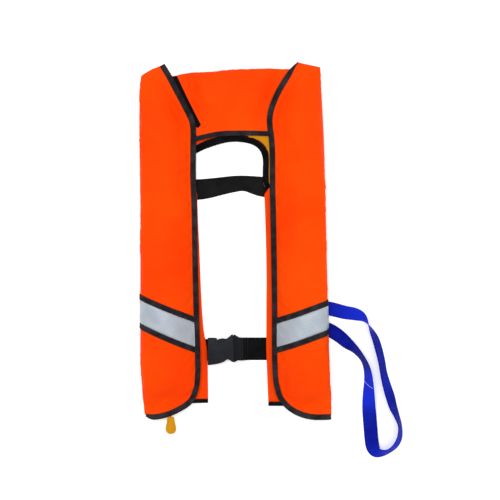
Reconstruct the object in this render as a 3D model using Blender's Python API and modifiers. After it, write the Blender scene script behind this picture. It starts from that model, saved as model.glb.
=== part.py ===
"""Inflatable life jacket, lying on its back with its front face up.

+X points to the viewer's right, +Y towards the collar and +Z out of the front. Left and
right are as seen from the front. Lengths below are in millimetres, and MM turns them into
Blender's metres.
"""

import math

import bmesh
import bpy
from mathutils import Matrix, Vector

MM = 0.001

# Driving dimensions
GAP = 0.3                 # clearance between pieces that touch
WEBBING = 1.6             # thickness of the black and blue webbing
PANEL = 1.0               # thickness of the back panel
COVER = 1.0               # thickness of a cover
BINDING = 9.0             # visible width of the edge binding
BINDING_THICK = 2.0
BELT_WIDTH = 38.0
STRAP_WIDTH = 25.0
PANEL_LOW = WEBBING + GAP
PANEL_TOP = PANEL_LOW + PANEL
EDGE_LEVEL = 9.6          # height of the covers' edges, mid-thickness
CROWN = 31.0              # rise of a front cover above its edges
COLLAR_CROWN = 17.0
BLADDER_LOW = PANEL_TOP + GAP
BLADDER_THIN = 8.0        # top of the bladder below the inflator and the oral tube
BLADDER_THICK = 19.0      # top of the bladder where it is rolled
EDGING = 11.0             # black edging of the reflective tape, along Y
SILVER_WIDTH = 41.0       # silver between the edgings, along Y
TAPE_LIFT = 0.5           # underside of the reflective tape above the cover

# The covers' outlines, as the outer edge of the binding from the top tip down
LAPEL_LEFT = [(-126.9, 319.5), (-115.4, 301.0), (-101.2, 274.1), (-90.5, 254.5),
              (-77.9, 229.7), (-71.8, 217.0), (-69.8, 201.0)]
INNER_LEFT = [(-69.8, 201.0), (-70.0, 165.6), (-70.2, 112.0), (-68.0, 60.0),
              (-66.6, -40.0), (-65.0, -120.0), (-62.3, -205.0), (-62.2, -240.0),
              (-65.5, -268.0), (-74.0, -290.0)]
BOTTOM_LEFT = [(-74.0, -290.0), (-85.7, -299.8), (-103.7, -310.0), (-123.0, -317.8),
               (-146.0, -322.4), (-161.0, -321.0)]
FOLD_LEFT = [(-169.0, 297.0), (-171.5, 270.0), (-172.6, 200.0), (-172.8, 0.0),
             (-172.4, -180.0), (-171.0, -236.0), (-161.5, -312.0)]
TOP_LEFT = [(-169.0, 297.0), (-152.0, 308.0), (-137.0, 316.5)]

LAPEL_RIGHT = [(113.0, 322.4), (98.3, 309.8), (82.3, 286.6), (69.7, 263.5),
               (60.8, 240.3), (57.0, 222.0), (57.8, 204.0)]
INNER_RIGHT = [(57.8, 204.0), (60.4, 188.0), (62.1, 158.0), (62.4, 92.0),
               (63.6, 47.0), (66.2, -106.0), (66.4, -200.0), (68.2, -247.0),
               (74.0, -277.0), (82.5, -292.0)]
BOTTOM_RIGHT = [(82.5, -292.0), (95.4, -305.0), (112.0, -314.5), (128.0, -320.0),
                (146.0, -322.4), (173.2, -321.5)]
FOLD_RIGHT_TOP = (153.0, 314.0)
FOLD_RIGHT_FOOT = (173.2, -311.8)
TOP_RIGHT = [FOLD_RIGHT_TOP, (136.0, 318.0), (123.5, 320.6)]

# The collar cover, between the two lapels
COLLAR_TOP = [(-104.0, 297.6), (-97.0, 301.6), (-72.0, 305.0), (5.4, 310.0), (92.0, 309.4)]
COLLAR_FOOT = [(-66.8, 180.4), (-39.0, 186.8), (-19.0, 189.6), (7.4, 190.0),
               (34.2, 189.8), (57.2, 189.0)]

# The opening for the neck, as the inner edge of its binding
NECK_EDGE = [(-78.0, 152.0), (-70.6, 158.4), (-49.5, 168.0), (-19.3, 177.3),
             (0.4, 179.5), (21.6, 177.3), (36.0, 172.6), (45.0, 165.0),
             (49.6, 154.0), (50.6, 140.6), (49.6, 116.0), (52.9, 84.0)]
STRIP_LEFT = [(-68.5, 84.0), (-66.8, 34.2), (-64.4, -14.4), (-61.2, -95.4),
              (-57.0, -158.0), (-52.5, -184.0), (-49.6, -212.0), (-48.6, -284.0)]
STRIP_RIGHT = [(52.9, 84.0), (55.3, 19.8), (56.9, -70.2), (56.4, -194.4), (60.1, -286.0)]
HEM = 9.0

# Where a front cover's columns lie across it, from the fold to the inner edge
COLUMNS = (0.0, 0.025, 0.05, 0.08, 0.11, 0.14, 0.17, 0.21, 0.40, 0.60,
           0.66, 0.71, 0.76, 0.81, 0.88, 1.0)

# Inflator, in the left lobe
AXIS_X, AXIS_Z = -134.0, 22.6
PIVOT = (-126.0, -242.0)
STEM = (-145.0, -222.0)
TOGGLE_TOP = (-116.0, -317.4)
LEVER_ARM = 25.5
LEVER_REST = math.radians(40.0)
CYLINDER_RADIUS = 12.7

# Buckle: its own frame has +X from the socket to the plug, with zero at the socket's mouth
BUCKLE_PLACE = (-4.0, -193.6)
BUCKLE_TURN = math.radians(3.5)
BUCKLE_THICK = 12.0

# Oral tube, in the right lobe
TUBE_X, TUBE_Z = 120.0, 21.0


# ---------------------------------------------------------------- helpers

def clear_scene():
    for old in list(bpy.data.objects):
        bpy.data.objects.remove(old, do_unlink=True)


def make_collection(name):
    made = bpy.data.collections.new(name)
    bpy.context.scene.collection.children.link(made)
    return made


def make_material(name, colour, roughness, metallic=0.0):
    made = bpy.data.materials.new(name)
    made.use_nodes = True
    shader = made.node_tree.nodes["Principled BSDF"]
    shader.inputs["Base Color"].default_value = (*colour, 1.0)
    shader.inputs["Roughness"].default_value = roughness
    shader.inputs["Metallic"].default_value = metallic
    return made


def finish(piece, material, smooth_angle=None):
    """Give a piece its own copy of the material, and smooth shading if it is round."""
    own = material.copy()
    own.name = piece.name
    piece.data.materials.clear()
    piece.data.materials.append(own)
    if smooth_angle is not None:
        piece.data.shade_smooth()
        piece.data.set_sharp_from_angle(angle=math.radians(smooth_angle))
    return piece


def add_object(name, data, where=None):
    piece = bpy.data.objects.new(name, data)
    (where or PARTS).objects.link(piece)
    return piece


def mesh_from_bmesh(name, bm, where=None):
    data = bpy.data.meshes.new(name)
    bm.to_mesh(data)
    bm.free()
    return add_object(name, data, where)


def as_cutter(piece):
    piece.hide_render = True
    piece.display_type = "WIRE"
    return piece


def combine(piece, other, operation):
    """Cut a piece by another object or join the other to it, with an exact Boolean."""
    modifier = piece.modifiers.new(operation.lower(), "BOOLEAN")
    modifier.operation = operation
    modifier.solver = "EXACT"
    modifier.object = as_cutter(other)


def cut(piece, *cutters):
    for cutter in cutters:
        combine(piece, cutter, "DIFFERENCE")


def join(piece, *others):
    for other in others:
        combine(piece, other, "UNION")


def between(a, b, t):
    return a + (b - a) * t


def smooth_step(low, high, value):
    t = min(max((value - low) / (high - low), 0.0), 1.0)
    return t * t * (3.0 - 2.0 * t)


def smooth_path(points, steps=4):
    """Points on a Catmull-Rom curve through the given points, in 2 or more dimensions."""
    path = [Vector(p) for p in points]
    ends = [path[0] * 2 - path[1]] + path + [path[-1] * 2 - path[-2]]
    found = []
    for a, b, c, d in zip(ends, ends[1:], ends[2:], ends[3:]):
        for step in range(steps):
            t = step / steps
            found.append(((b * 2) + (c - a) * t + (a * 2 - b * 5 + c * 4 - d) * t ** 2
                          + (b * 3 - a - c * 3 + d) * t ** 3) * 0.5)
    return found + [path[-1]]


def at_fraction(path, fraction):
    """The point at a fraction of a path's length."""
    lengths = [(b - a).length for a, b in zip(path, path[1:])]
    left = min(max(fraction, 0.0), 1.0) * sum(lengths)
    for start, end, length in zip(path, path[1:], lengths):
        if left <= length:
            return start.lerp(end, left / length)
        left -= length
    return path[-1].copy()


def parallel_path(path, distance):
    """The path moved sideways, to the left of its direction."""
    moved = []
    for index, point in enumerate(path):
        before = path[max(index - 1, 0)]
        after = path[min(index + 1, len(path) - 1)]
        along = (after - before).normalized()
        moved.append(point + Vector((-along.y, along.x)) * distance)
    return moved


def box(name, low, high, where=None):
    """A box from its lowest to its highest corner."""
    bm = bmesh.new()
    bmesh.ops.create_cube(bm, size=1.0)
    low, high = Vector(low) * MM, Vector(high) * MM
    size = Matrix.Diagonal((*(high - low), 1.0))
    bmesh.ops.transform(bm, matrix=Matrix.Translation((low + high) / 2) @ size, verts=bm.verts)
    return mesh_from_bmesh(name, bm, where)


def round_bar(name, radius, start, end, sides=24, where=None):
    """A cylinder between two points."""
    start, end = Vector(start) * MM, Vector(end) * MM
    bm = bmesh.new()
    bmesh.ops.create_cone(bm, cap_ends=True, segments=sides, radius1=radius * MM,
                          radius2=radius * MM, depth=(end - start).length)
    turn = (end - start).to_track_quat("Z", "Y").to_matrix().to_4x4()
    bmesh.ops.transform(bm, matrix=Matrix.Translation((start + end) / 2) @ turn, verts=bm.verts)
    return mesh_from_bmesh(name, bm, where)


def plate(name, outline, low, high, where=None):
    """A flat piece with the given outline, between two heights."""
    curve = bpy.data.curves.new(name, "CURVE")
    curve.dimensions = "2D"
    curve.fill_mode = "BOTH"
    curve.extrude = (high - low) / 2 * MM
    spline = curve.splines.new("POLY")
    spline.points.add(len(outline) - 1)
    for point, place in zip(spline.points, outline):
        point.co = (place[0] * MM, place[1] * MM, 0.0, 1.0)
    spline.use_cyclic_u = True
    piece = add_object(name, curve, where)
    piece.location.z = (low + high) / 2 * MM
    return piece


def solid_plate(name, outline, low, high, where=None):
    """The same flat piece as a mesh, for pieces that are cut or joined."""
    curve = plate(name + "_outline", outline, low, high, where)
    bpy.context.view_layer.update()
    graph = bpy.context.evaluated_depsgraph_get()
    data = bpy.data.meshes.new_from_object(curve.evaluated_get(graph))
    bm = bmesh.new()
    bm.from_mesh(data)
    bpy.data.meshes.remove(data)
    bmesh.ops.remove_doubles(bm, verts=bm.verts, dist=1e-6)
    bmesh.ops.transform(bm, matrix=curve.matrix_world, verts=bm.verts)
    bpy.data.objects.remove(curve, do_unlink=True)
    return mesh_from_bmesh(name, bm, where)


def turned(name, profile, place, direction, sides=32, where=None):
    """A turned piece: (radius, height) pairs from the top down, height along direction."""
    bm = bmesh.new()
    corners = [bm.verts.new((radius * MM, 0.0, height * MM)) for radius, height in profile]
    for first, second in zip(corners, corners[1:]):
        bm.edges.new((first, second))
    piece = mesh_from_bmesh(name, bm, where)
    screw = piece.modifiers.new("turn", "SCREW")
    screw.steps = screw.render_steps = sides
    screw.use_merge_vertices = True
    screw.merge_threshold = 0.00001
    piece.location = Vector(place) * MM
    piece.rotation_mode = "QUATERNION"
    piece.rotation_quaternion = Vector(direction).to_track_quat("Z", "Y")
    return piece


def tube(name, points, radius, resolution=2):
    """A round tube with closed ends through the given points."""
    curve = bpy.data.curves.new(name, "CURVE")
    curve.dimensions = "3D"
    curve.bevel_depth = radius * MM
    curve.bevel_resolution = resolution
    curve.use_fill_caps = True
    spline = curve.splines.new("POLY")
    spline.points.add(len(points) - 1)
    for point, place in zip(spline.points, points):
        point.co = (*(Vector(place) * MM), 1.0)
    return add_object(name, curve)


def edge_rounding(piece, width, segments=1):
    bevel = piece.modifiers.new("edges", "BEVEL")
    bevel.width = width * MM
    bevel.segments = segments
    bevel.limit_method = "ANGLE"
    bevel.angle_limit = math.radians(40)


def band_outline(edge, width):
    """The outline of a flat band whose one side is the edge path."""
    return edge + parallel_path(edge, width)[::-1]


class Patch:
    """A four-sided sheet between four edge paths, crowned above its flat edges.

    u runs from the left path to the right path, v from the foot path to the head path.
    """

    def __init__(self, left, right, foot, head, rise):
        self.left, self.right, self.foot, self.head = left, right, foot, head
        self.rise = rise

    def place(self, u, v):
        """Where (u, v) lies in plan, blended from the four edges (a Coons patch)."""
        side = at_fraction(self.left, v) * (1 - u) + at_fraction(self.right, v) * u
        ends = at_fraction(self.foot, u) * (1 - v) + at_fraction(self.head, u) * v
        foot = self.foot[0] * (1 - u) + self.foot[-1] * u
        head = self.head[0] * (1 - u) + self.head[-1] * u
        return side + ends - (foot * (1 - v) + head * v)

    def surface(self, u, v):
        plan = self.place(u, v)
        return Vector((plan.x, plan.y, EDGE_LEVEL + self.rise(u, v)))

    def point(self, u, v, lift=0.0):
        """A point at a distance from the sheet, along its normal."""
        step = 0.002
        across = self.surface(min(u + step, 1.0), v) - self.surface(max(u - step, 0.0), v)
        along = self.surface(u, min(v + step, 1.0)) - self.surface(u, max(v - step, 0.0))
        return self.surface(u, v) + across.cross(along).normalized() * lift


def patch_sheet(name, patch, columns, rows, thickness, lift=0.0, row_place=None):
    """A sheet on a patch: a grid laid over (u, v), thickened upwards by Solidify.

    columns lists the u of each column of points. row_place turns (u, v) into the patch's v.
    """
    bm = bmesh.new()
    bmesh.ops.create_grid(bm, x_segments=len(columns) - 1, y_segments=rows, size=0.5)
    for vert in bm.verts:
        u = columns[round((vert.co.x + 0.5) * (len(columns) - 1))]
        v = vert.co.y + 0.5
        if row_place:
            v = row_place(u, v)
        vert.co = patch.point(u, v, lift) * MM
    bmesh.ops.recalc_face_normals(bm, faces=bm.faces)
    for face in bm.faces:
        if face.normal.z < 0:
            bmesh.ops.reverse_faces(bm, faces=bm.faces)
            break
    piece = mesh_from_bmesh(name, bm)
    solid = piece.modifiers.new("thickness", "SOLIDIFY")
    solid.thickness = thickness * MM
    solid.offset = 1.0
    return piece


# ---------------------------------------------------------------- soft parts

def back_panel():
    """The back panel: a yoke behind the neck and one strip down each side."""
    neck = parallel_path(smooth_path(NECK_EDGE, 3), BINDING + GAP)
    left_strip = smooth_path(STRIP_LEFT, 2)
    right_strip = smooth_path(STRIP_RIGHT, 2)
    outline = ([Vector((-158.0, -284.0)), Vector((-169.0, -230.0)), Vector((-170.5, 0.0)),
                Vector((-170.0, 240.0)), Vector((-166.0, 292.0)), Vector((-130.0, 300.0)),
                Vector((-95.0, 296.0)), Vector((0.0, 304.0)), Vector((90.0, 304.0)),
                Vector((150.0, 308.0)), Vector((168.5, -284.0))]
               + right_strip[::-1] + neck[::-1][1:] + left_strip)
    return finish(plate("back_panel", outline, PANEL_LOW, PANEL_TOP), ORANGE)


def neckline_binding():
    edge = smooth_path(NECK_EDGE, 3)[2:-1]
    return finish(plate("neckline_binding", band_outline(edge, BINDING),
                        PANEL_LOW - 0.2, PANEL_TOP + 0.4), BLACK_TAPE)


def back_hems():
    """The black hem at the foot of each strip of the back panel."""
    for name, low, high in (("back_hem_left", -157.8, -48.6), ("back_hem_right", 60.1, 168.4)):
        tops = (-284.0 - GAP, STRIP_RIGHT[-1][1] - GAP)
        left_top, right_top = (tops[0], tops[0]) if low < 0 else (tops[1], tops[0])
        outline = [(low, left_top), (low, left_top - HEM), (high, right_top - HEM),
                   (high, right_top)]
        finish(plate(name, outline, PANEL_LOW - 0.2, PANEL_TOP + 0.4), BLACK_TAPE)


def bladder():
    """The folded bladder: a horseshoe through both lobes and the collar."""
    neck = parallel_path(smooth_path(NECK_EDGE[5:], 2), BINDING + 1.5)
    thin = ([Vector(p) for p in
             [(-152.0, -256.0), (-165.0, -240.0), (-166.0, 0.0), (-165.0, 260.0),
              (-150.0, 292.0), (-108.0, 286.0), (0.0, 298.0), (84.0, 298.0),
              (134.0, 302.0), (150.0, 270.0), (164.0, -270.0), (150.0, -280.0),
              (98.0, -280.0), (86.0, -250.0), (84.0, 40.0)]]
            + neck[::-1]
            + [Vector(p) for p in
               [(10.0, 206.0), (-60.0, 206.0), (-92.0, 190.0), (-90.0, 0.0),
                (-88.0, -240.0), (-98.0, -256.0)]])
    piece = solid_plate("bladder", thin, BLADDER_LOW, BLADDER_THIN)
    left_roll = [(-150.0, -52.0), (-152.0, 0.0), (-152.0, 180.0), (-138.0, 196.0),
                 (-112.0, 190.0), (-104.0, 170.0), (-104.0, -40.0), (-112.0, -52.0)]
    right_roll = [(96.0, 116.0), (98.0, 176.0), (110.0, 190.0), (132.0, 192.0),
                  (142.0, 176.0), (148.0, 116.0)]
    foot_roll = [(104.0, -258.0), (100.0, -190.0), (150.0, -190.0), (146.0, -258.0)]
    collar_roll = [(-52.0, 228.0), (-60.0, 268.0), (0.0, 274.0), (52.0, 272.0), (42.0, 228.0)]
    rolls = [("left_roll", left_roll, BLADDER_THICK), ("right_roll", right_roll, BLADDER_THICK),
             ("foot_roll", foot_roll, BLADDER_THICK), ("collar_roll", collar_roll, 14.0)]
    for name, outline, top in rolls:
        join(piece, solid_plate(name, outline, BLADDER_THIN - 1.0, top, CUTTERS))
    return finish(piece, YELLOW)


def lobe_rise(u, v):
    """A front cover's height above its edges: steep at the fold, flat along the inner edge."""
    across = smooth_step(0.0, 0.20, u) * (1 - smooth_step(0.62, 0.86, u))
    along = smooth_step(0.0, 0.10, v) * (1 - smooth_step(0.80, 1.0, v))
    return CROWN * across * along


def lobe_rise_right(u, v):
    """The same for the right cover, whose u runs from the inner edge to the fold."""
    return lobe_rise(1 - u, v)


def collar_rise(u, v):
    across = smooth_step(0.0, 0.18, u) * (1 - smooth_step(0.82, 1.0, u))
    along = smooth_step(0.06, 0.45, v) * (1 - smooth_step(0.72, 1.0, v))
    return COLLAR_CROWN * across * along


def edges_left():
    """Paths of the left cover's binding: down the lapel, the inner edge and the bottom."""
    side = smooth_path(LAPEL_LEFT, 3)[:-1] + smooth_path(INNER_LEFT, 3)
    foot = smooth_path(BOTTOM_LEFT, 3)
    return side, foot


def edges_right():
    side = smooth_path(LAPEL_RIGHT, 3)[:-1] + smooth_path(INNER_RIGHT, 3)
    foot = smooth_path(BOTTOM_RIGHT, 3)
    return side, foot


def patch_left():
    side, foot = edges_left()
    whole = parallel_path(side[:-1] + foot, -(BINDING + 1.0))
    corner = len(side) - 1
    inner = whole[:corner + 1]
    bottom = whole[corner:]
    fold = smooth_path(FOLD_LEFT, 2)
    bottom = [fold[-1]] + bottom[::-1][1:]
    head = [fold[0]] + [Vector(p) for p in TOP_LEFT[1:-1]] + [inner[0]]
    return Patch(fold[::-1], inner[::-1], bottom, head, lobe_rise)


def patch_right():
    side, foot = edges_right()
    whole = parallel_path(side[:-1] + foot, BINDING + 1.0)
    corner = len(side) - 1
    inner = whole[:corner + 1]
    fold = [Vector(FOLD_RIGHT_TOP), Vector(FOLD_RIGHT_FOOT)]
    bottom = whole[corner:-1] + [fold[-1]]
    head = [inner[0]] + [Vector(p) for p in TOP_RIGHT[1:-1]] + [fold[0]]
    return Patch(inner[::-1], fold[::-1], bottom, head, lobe_rise_right)


def cover(side_name, patch, columns, binding_path, inward):
    """One front cover with its edge binding."""
    half = COVER / 2
    shell = patch_sheet("front_cover_" + side_name, patch, columns, 26, COVER, lift=-half)
    finish(shell, ORANGE, 60)
    outline = band_outline(binding_path, BINDING * inward)
    low = EDGE_LEVEL - BINDING_THICK / 2
    finish(plate("cover_binding_" + side_name, outline, low, low + BINDING_THICK), BLACK_TAPE)


def row_on_line(patch, start, end):
    """For a straight line in plan: the v at which a column of the patch crosses it."""
    def crossing(u):
        low, high = 0.0, 1.0
        for _ in range(24):
            middle = (low + high) / 2
            place = patch.place(u, middle)
            line_y = between(start[1], end[1], (place.x - start[0]) / (end[0] - start[0]))
            low, high = (middle, high) if place.y < line_y else (low, middle)
        return low
    return crossing


def reflective_tape(side_name, patch, columns, foot_line):
    """The silver tape with a black edging on each side of it, above the given line."""
    (x_start, y_start), (x_end, y_end) = foot_line
    level = 0.0
    for name, width, material in (("tape_edging_lower_", EDGING, BLACK_TAPE),
                                  ("reflective_tape_", SILVER_WIDTH, SILVER),
                                  ("tape_edging_upper_", EDGING, BLACK_TAPE)):
        lower = row_on_line(patch, (x_start, y_start + level), (x_end, y_end + level))
        upper_level = level + width - GAP
        upper = row_on_line(patch, (x_start, y_start + upper_level), (x_end, y_end + upper_level))
        strip = patch_sheet(name + side_name, patch, columns, 1, 0.5, COVER / 2 + TAPE_LIFT,
                            lambda u, t: between(lower(u), upper(u), t))
        finish(strip, material, 60)
        level += width


def hook_and_loop(name, low, high):
    """A pair of closure strips: hooks on the panel, loops under the cover."""
    top = EDGE_LEVEL - BINDING_THICK / 2 - GAP
    middle = (BLADDER_LOW + top) / 2
    finish(box("hook_strip_" + name, (*low, BLADDER_LOW), (*high, middle - GAP / 2)), BLACK_TAPE)
    finish(box("loop_strip_" + name, (*low, middle + GAP / 2), (*high, top)), BLACK_TAPE)


def collar():
    """The collar cover between the lapels, with its lower binding and its end binding."""
    foot = smooth_path(COLLAR_FOOT, 3)
    outline = band_outline(foot, BINDING)
    low = EDGE_LEVEL - BINDING_THICK / 2
    finish(plate("collar_binding", outline, low, low + BINDING_THICK), BLACK_TAPE)
    end_strip = [(-106.0, 297.0), (-104.4, 297.0), (-88.0, 262.0), (-76.0, 238.0),
                 (-61.5, 209.5), (-66.0, 204.0), (-68.6, 206.0), (-68.6, 216.0),
                 (-76.4, 230.6), (-89.0, 255.4), (-99.6, 274.8)]
    finish(plate("collar_end_binding", end_strip, low, low + BINDING_THICK), BLACK_TAPE)
    head = smooth_path(COLLAR_TOP, 3)
    lower = parallel_path(foot, BINDING + GAP)
    left = [lower[0] + Vector((0.6, 0.0)), Vector((-67.4, 200.0)), Vector((-63.4, 201.6)),
            Vector((-58.4, 209.5)), Vector((-73.6, 238.4)), Vector((-86.4, 262.4)), head[0]]
    right = [lower[-1], Vector((56.0, 204.0)), Vector((55.4, 222.0)), Vector((59.4, 241.0)),
             Vector((68.4, 264.2)), Vector((81.0, 287.4)), head[-1]]
    patch = Patch(left, right, lower, head, collar_rise)
    columns = [step / 14 for step in range(15)]
    finish(patch_sheet("collar_cover", patch, columns, 14, COVER, lift=-COVER / 2), ORANGE, 60)


def back_strap():
    """The webbing across the back, below the neck, with its ends under both strips."""
    top = smooth_path([(-150.0, 108.0), (-69.0, 111.0), (-17.0, 116.5), (8.5, 118.6),
                       (49.0, 116.5), (150.0, 108.0)], 3)
    foot = smooth_path([(-150.0, 70.0), (-68.4, 73.8), (-39.0, 79.2), (-17.0, 85.0),
                        (5.0, 89.5), (20.0, 90.5), (51.7, 77.6), (150.0, 70.0)], 3)
    return finish(plate("back_strap", foot + top[::-1], 0.0, WEBBING), BLACK_WEB)


def blue_strap():
    """The blue strap: a flat ribbon that stands on its edge where it bends."""
    route = [  # x, y, lean: 0 lies flat, 90 stands on edge, 180 lies on its other face
        (154.0, -119.5, 0), (168.0, -121.5, 0), (176.0, -123.0, 0), (198.0, -128.6, 13),
        (215.0, -131.4, 24), (227.0, -136.0, 45), (236.5, -145.0, 80), (244.8, -160.0, 108),
        (253.0, -176.5, 122), (259.0, -196.0, 125), (264.0, -217.0, 124),
        (267.6, -238.0, 124), (273.0, -259.0, 130), (279.8, -281.0, 134),
        (284.6, -298.0, 128), (291.0, -314.0, 116), (296.4, -330.0, 110),
        (297.4, -345.0, 108), (293.6, -359.0, 110), (285.5, -370.6, 112),
        (273.0, -378.6, 112), (261.0, -380.6, 114), (251.0, -377.0, 120),
        (245.6, -368.0, 138), (244.6, -356.0, 160), (244.4, -340.0, 176),
        (243.4, -320.0, 174), (241.8, -298.0, 164), (241.0, -276.0, 146),
        (240.6, -254.0, 126), (238.4, -233.0, 116), (231.6, -214.6, 110),
        (218.0, -196.6, 124), (202.0, -183.0, 152), (189.0, -171.6, 168),
        (177.0, -163.6, 180), (168.0, -159.6, 180), (154.0, -154.6, 180)]
    ribbon = smooth_path(route, 2)
    curve = bpy.data.curves.new("blue_strap", "CURVE")
    curve.dimensions = "3D"
    curve.twist_mode = "Z_UP"
    curve.bevel_depth = WEBBING / 2 * MM
    curve.bevel_resolution = 1
    curve.extrude = (STRAP_WIDTH - WEBBING) / 2 * MM
    curve.use_fill_caps = True
    spline = curve.splines.new("POLY")
    spline.points.add(len(ribbon) - 1)
    for point, (x, y, lean) in zip(spline.points, ribbon):
        lean = math.radians(lean)
        height = (STRAP_WIDTH - WEBBING) / 2 * abs(math.sin(lean)) + WEBBING / 2 + 0.05
        point.co = (x * MM, y * MM, height * MM, 1.0)
        point.tilt = math.radians(90) - lean
    return finish(add_object("blue_strap", curve), BLUE_WEB)


# ---------------------------------------------------------------- waist belt and buckle

def looped_webbing(name, far, turn, low_y, high_y, returns):
    """A belt run on the ground whose end turns up and back over a buckle bar at x = turn.

    far is the x of its other end. returns says how far the end comes back: a long one lies
    on the run below it, where it is stitched, and a short one stops past the bar.
    """
    toward = 1.0 if turn > far else -1.0
    inner, bar_z = 3.6, 6.4
    outer = inner + WEBBING
    steps = 8
    outside, inside = [], []
    for step in range(steps + 1):
        angle = -math.pi / 2 + math.pi * step / steps
        across, rise = toward * math.cos(angle), math.sin(angle)
        outside.append((turn + outer * across, bar_z + outer * rise))
        inside.append((turn + inner * across, bar_z + inner * rise))
    ramp = turn - toward * 3.0
    end = turn - toward * returns
    if returns > 12.0:
        knee, landing, lying = turn - toward * 4.0, turn - toward * 11.0, WEBBING + 0.2
        back = [(knee, bar_z + outer), (landing, lying + WEBBING), (end, lying + WEBBING),
                (end, lying), (landing, lying), (knee, bar_z + inner)]
    else:
        back = [(end, bar_z + outer), (end, bar_z + inner)]
    profile = ([(far, 0.0), (ramp, 0.0)] + outside + back + inside[::-1]
               + [(ramp, WEBBING), (far, WEBBING)])
    piece = solid_plate(name, profile, -(high_y - low_y) / 2, (high_y - low_y) / 2)
    stand = Matrix.Rotation(math.radians(90), 4, "X")
    middle = Matrix.Translation((0.0, (low_y + high_y) / 2 * MM, 0.0))
    piece.data.transform(middle @ stand)
    return finish(piece, BLACK_WEB)


def buckle_frame():
    frame = bpy.data.objects.new("buckle_frame", None)
    PARTS.objects.link(frame)
    frame.location = (BUCKLE_PLACE[0] * MM, BUCKLE_PLACE[1] * MM, 0.2 * MM)
    frame.rotation_euler.z = BUCKLE_TURN
    return frame


def two_sided(half):
    """A closed outline from its upper half, mirrored in y."""
    return half + [(x, -y) for x, y in half[::-1]]


def buckle_socket(frame):
    half = [(-44.5, 21.5), (-43.0, 24.0), (-40.0, 24.6), (-31.5, 24.6), (-29.5, 22.5),
            (-28.5, 15.4), (-16.5, 15.4), (-14.2, 19.0), (-10.0, 21.2), (-3.0, 24.0),
            (-0.4, 25.0), (0.0, 24.4)]
    piece = solid_plate("buckle_socket", two_sided(half), 0.0, BUCKLE_THICK)
    cavity = box("socket_cavity", (-31.0, -18.2, 2.0), (1.0, 18.2, BUCKLE_THICK - 2.0), CUTTERS)
    slot = box("socket_slot", (-41.6, -20.0, -1.0), (-34.0, 20.0, BUCKLE_THICK + 1.0), CUTTERS)
    relief = box("socket_bar_relief", (-46.0, -20.0, 8.6), (-41.0, 20.0, 13.0), CUTTERS)
    relief_low = box("socket_bar_relief_low", (-46.0, -20.0, -1.0), (-41.0, 20.0, 3.4), CUTTERS)
    for cutter in (cavity, slot, relief, relief_low):
        cutter.parent = frame
    cut(piece, cavity, slot, relief, relief_low)
    piece.parent = frame
    return finish(piece, BLACK_PLASTIC)


def buckle_plug(frame):
    half = [(0.3, 24.6), (1.2, 24.8), (6.0, 22.6), (9.0, 21.6), (16.5, 21.6), (17.3, 20.6)]
    piece = solid_plate("buckle_plug", two_sided(half), 0.0, BUCKLE_THICK - 0.6)
    tongue = box("plug_tongue", (-26.0, -4.5, 3.4), (2.0, 4.5, 8.0), CUTTERS)
    slot = box("plug_slot", (7.6, -19.9, -1.0), (13.6, 19.9, BUCKLE_THICK + 1.0), CUTTERS)
    relief = box("plug_bar_relief", (13.0, -19.9, 8.6), (18.0, 19.9, 13.0), CUTTERS)
    relief_low = box("plug_bar_relief_low", (13.0, -19.9, -1.0), (18.0, 19.9, 3.4), CUTTERS)
    roots = [box("plug_root_upper", (-1.0, 7.6, 2.4), (5.2, 18.4, 9.2), CUTTERS),
             box("plug_root_lower", (-1.0, -18.4, 2.4), (5.2, -7.6, 9.2), CUTTERS)]
    join(piece, tongue)
    cut(piece, slot, relief, relief_low, *roots)
    for other in (tongue, slot, relief, relief_low, *roots):
        other.parent = frame
    piece.parent = frame
    return finish(piece, BLACK_PLASTIC)


def buckle_prongs(frame):
    """The two latch prongs, each with its origin on the line it flexes about."""
    root = (2.5, 12.0)
    half_outline = [(-2.3, -2.0), (2.3, -2.0), (2.3, 2.0), (-8.0, 1.6), (-17.0, 1.2),
                    (-17.3, 7.0), (-20.0, 7.6), (-28.0, 6.4), (-31.5, 2.0), (-31.5, 0.2),
                    (-29.0, -1.4), (-8.0, -2.0)]
    for name, side in (("buckle_prong_upper", 1), ("buckle_prong_lower", -1)):
        outline = [(x, y * side) for x, y in half_outline]
        piece = solid_plate(name, outline, 2.9, 8.7)
        piece.location = (root[0] * MM, root[1] * side * MM, 0.0)
        piece.parent = frame
        finish(piece, BLACK_PLASTIC)


# ---------------------------------------------------------------- inflator

def manifold():
    """The valve stem welded to the bladder, and the nut that clamps the inflator on it."""
    place = (*STEM, BLADDER_THIN + GAP)
    top = 25.0
    finish(turned("manifold", [(0.0, top), (3.5, top), (4.0, top - 0.8), (4.0, 2.0), (16.5, 1.6),
                               (17.0, 1.2), (17.0, 0.0), (0.0, 0.0)], place, (0, 0, 1)),
           YELLOW_PLASTIC, 40)
    nut = round_bar("manifold_nut", 7.2, (*STEM, 29.1), (*STEM, 33.9), 6)
    hole = round_bar("nut_hole", 4.4, (*STEM, 27.0), (*STEM, 36.0), 24, CUTTERS)
    cut(nut, hole)
    finish(nut, BRASS)


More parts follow.
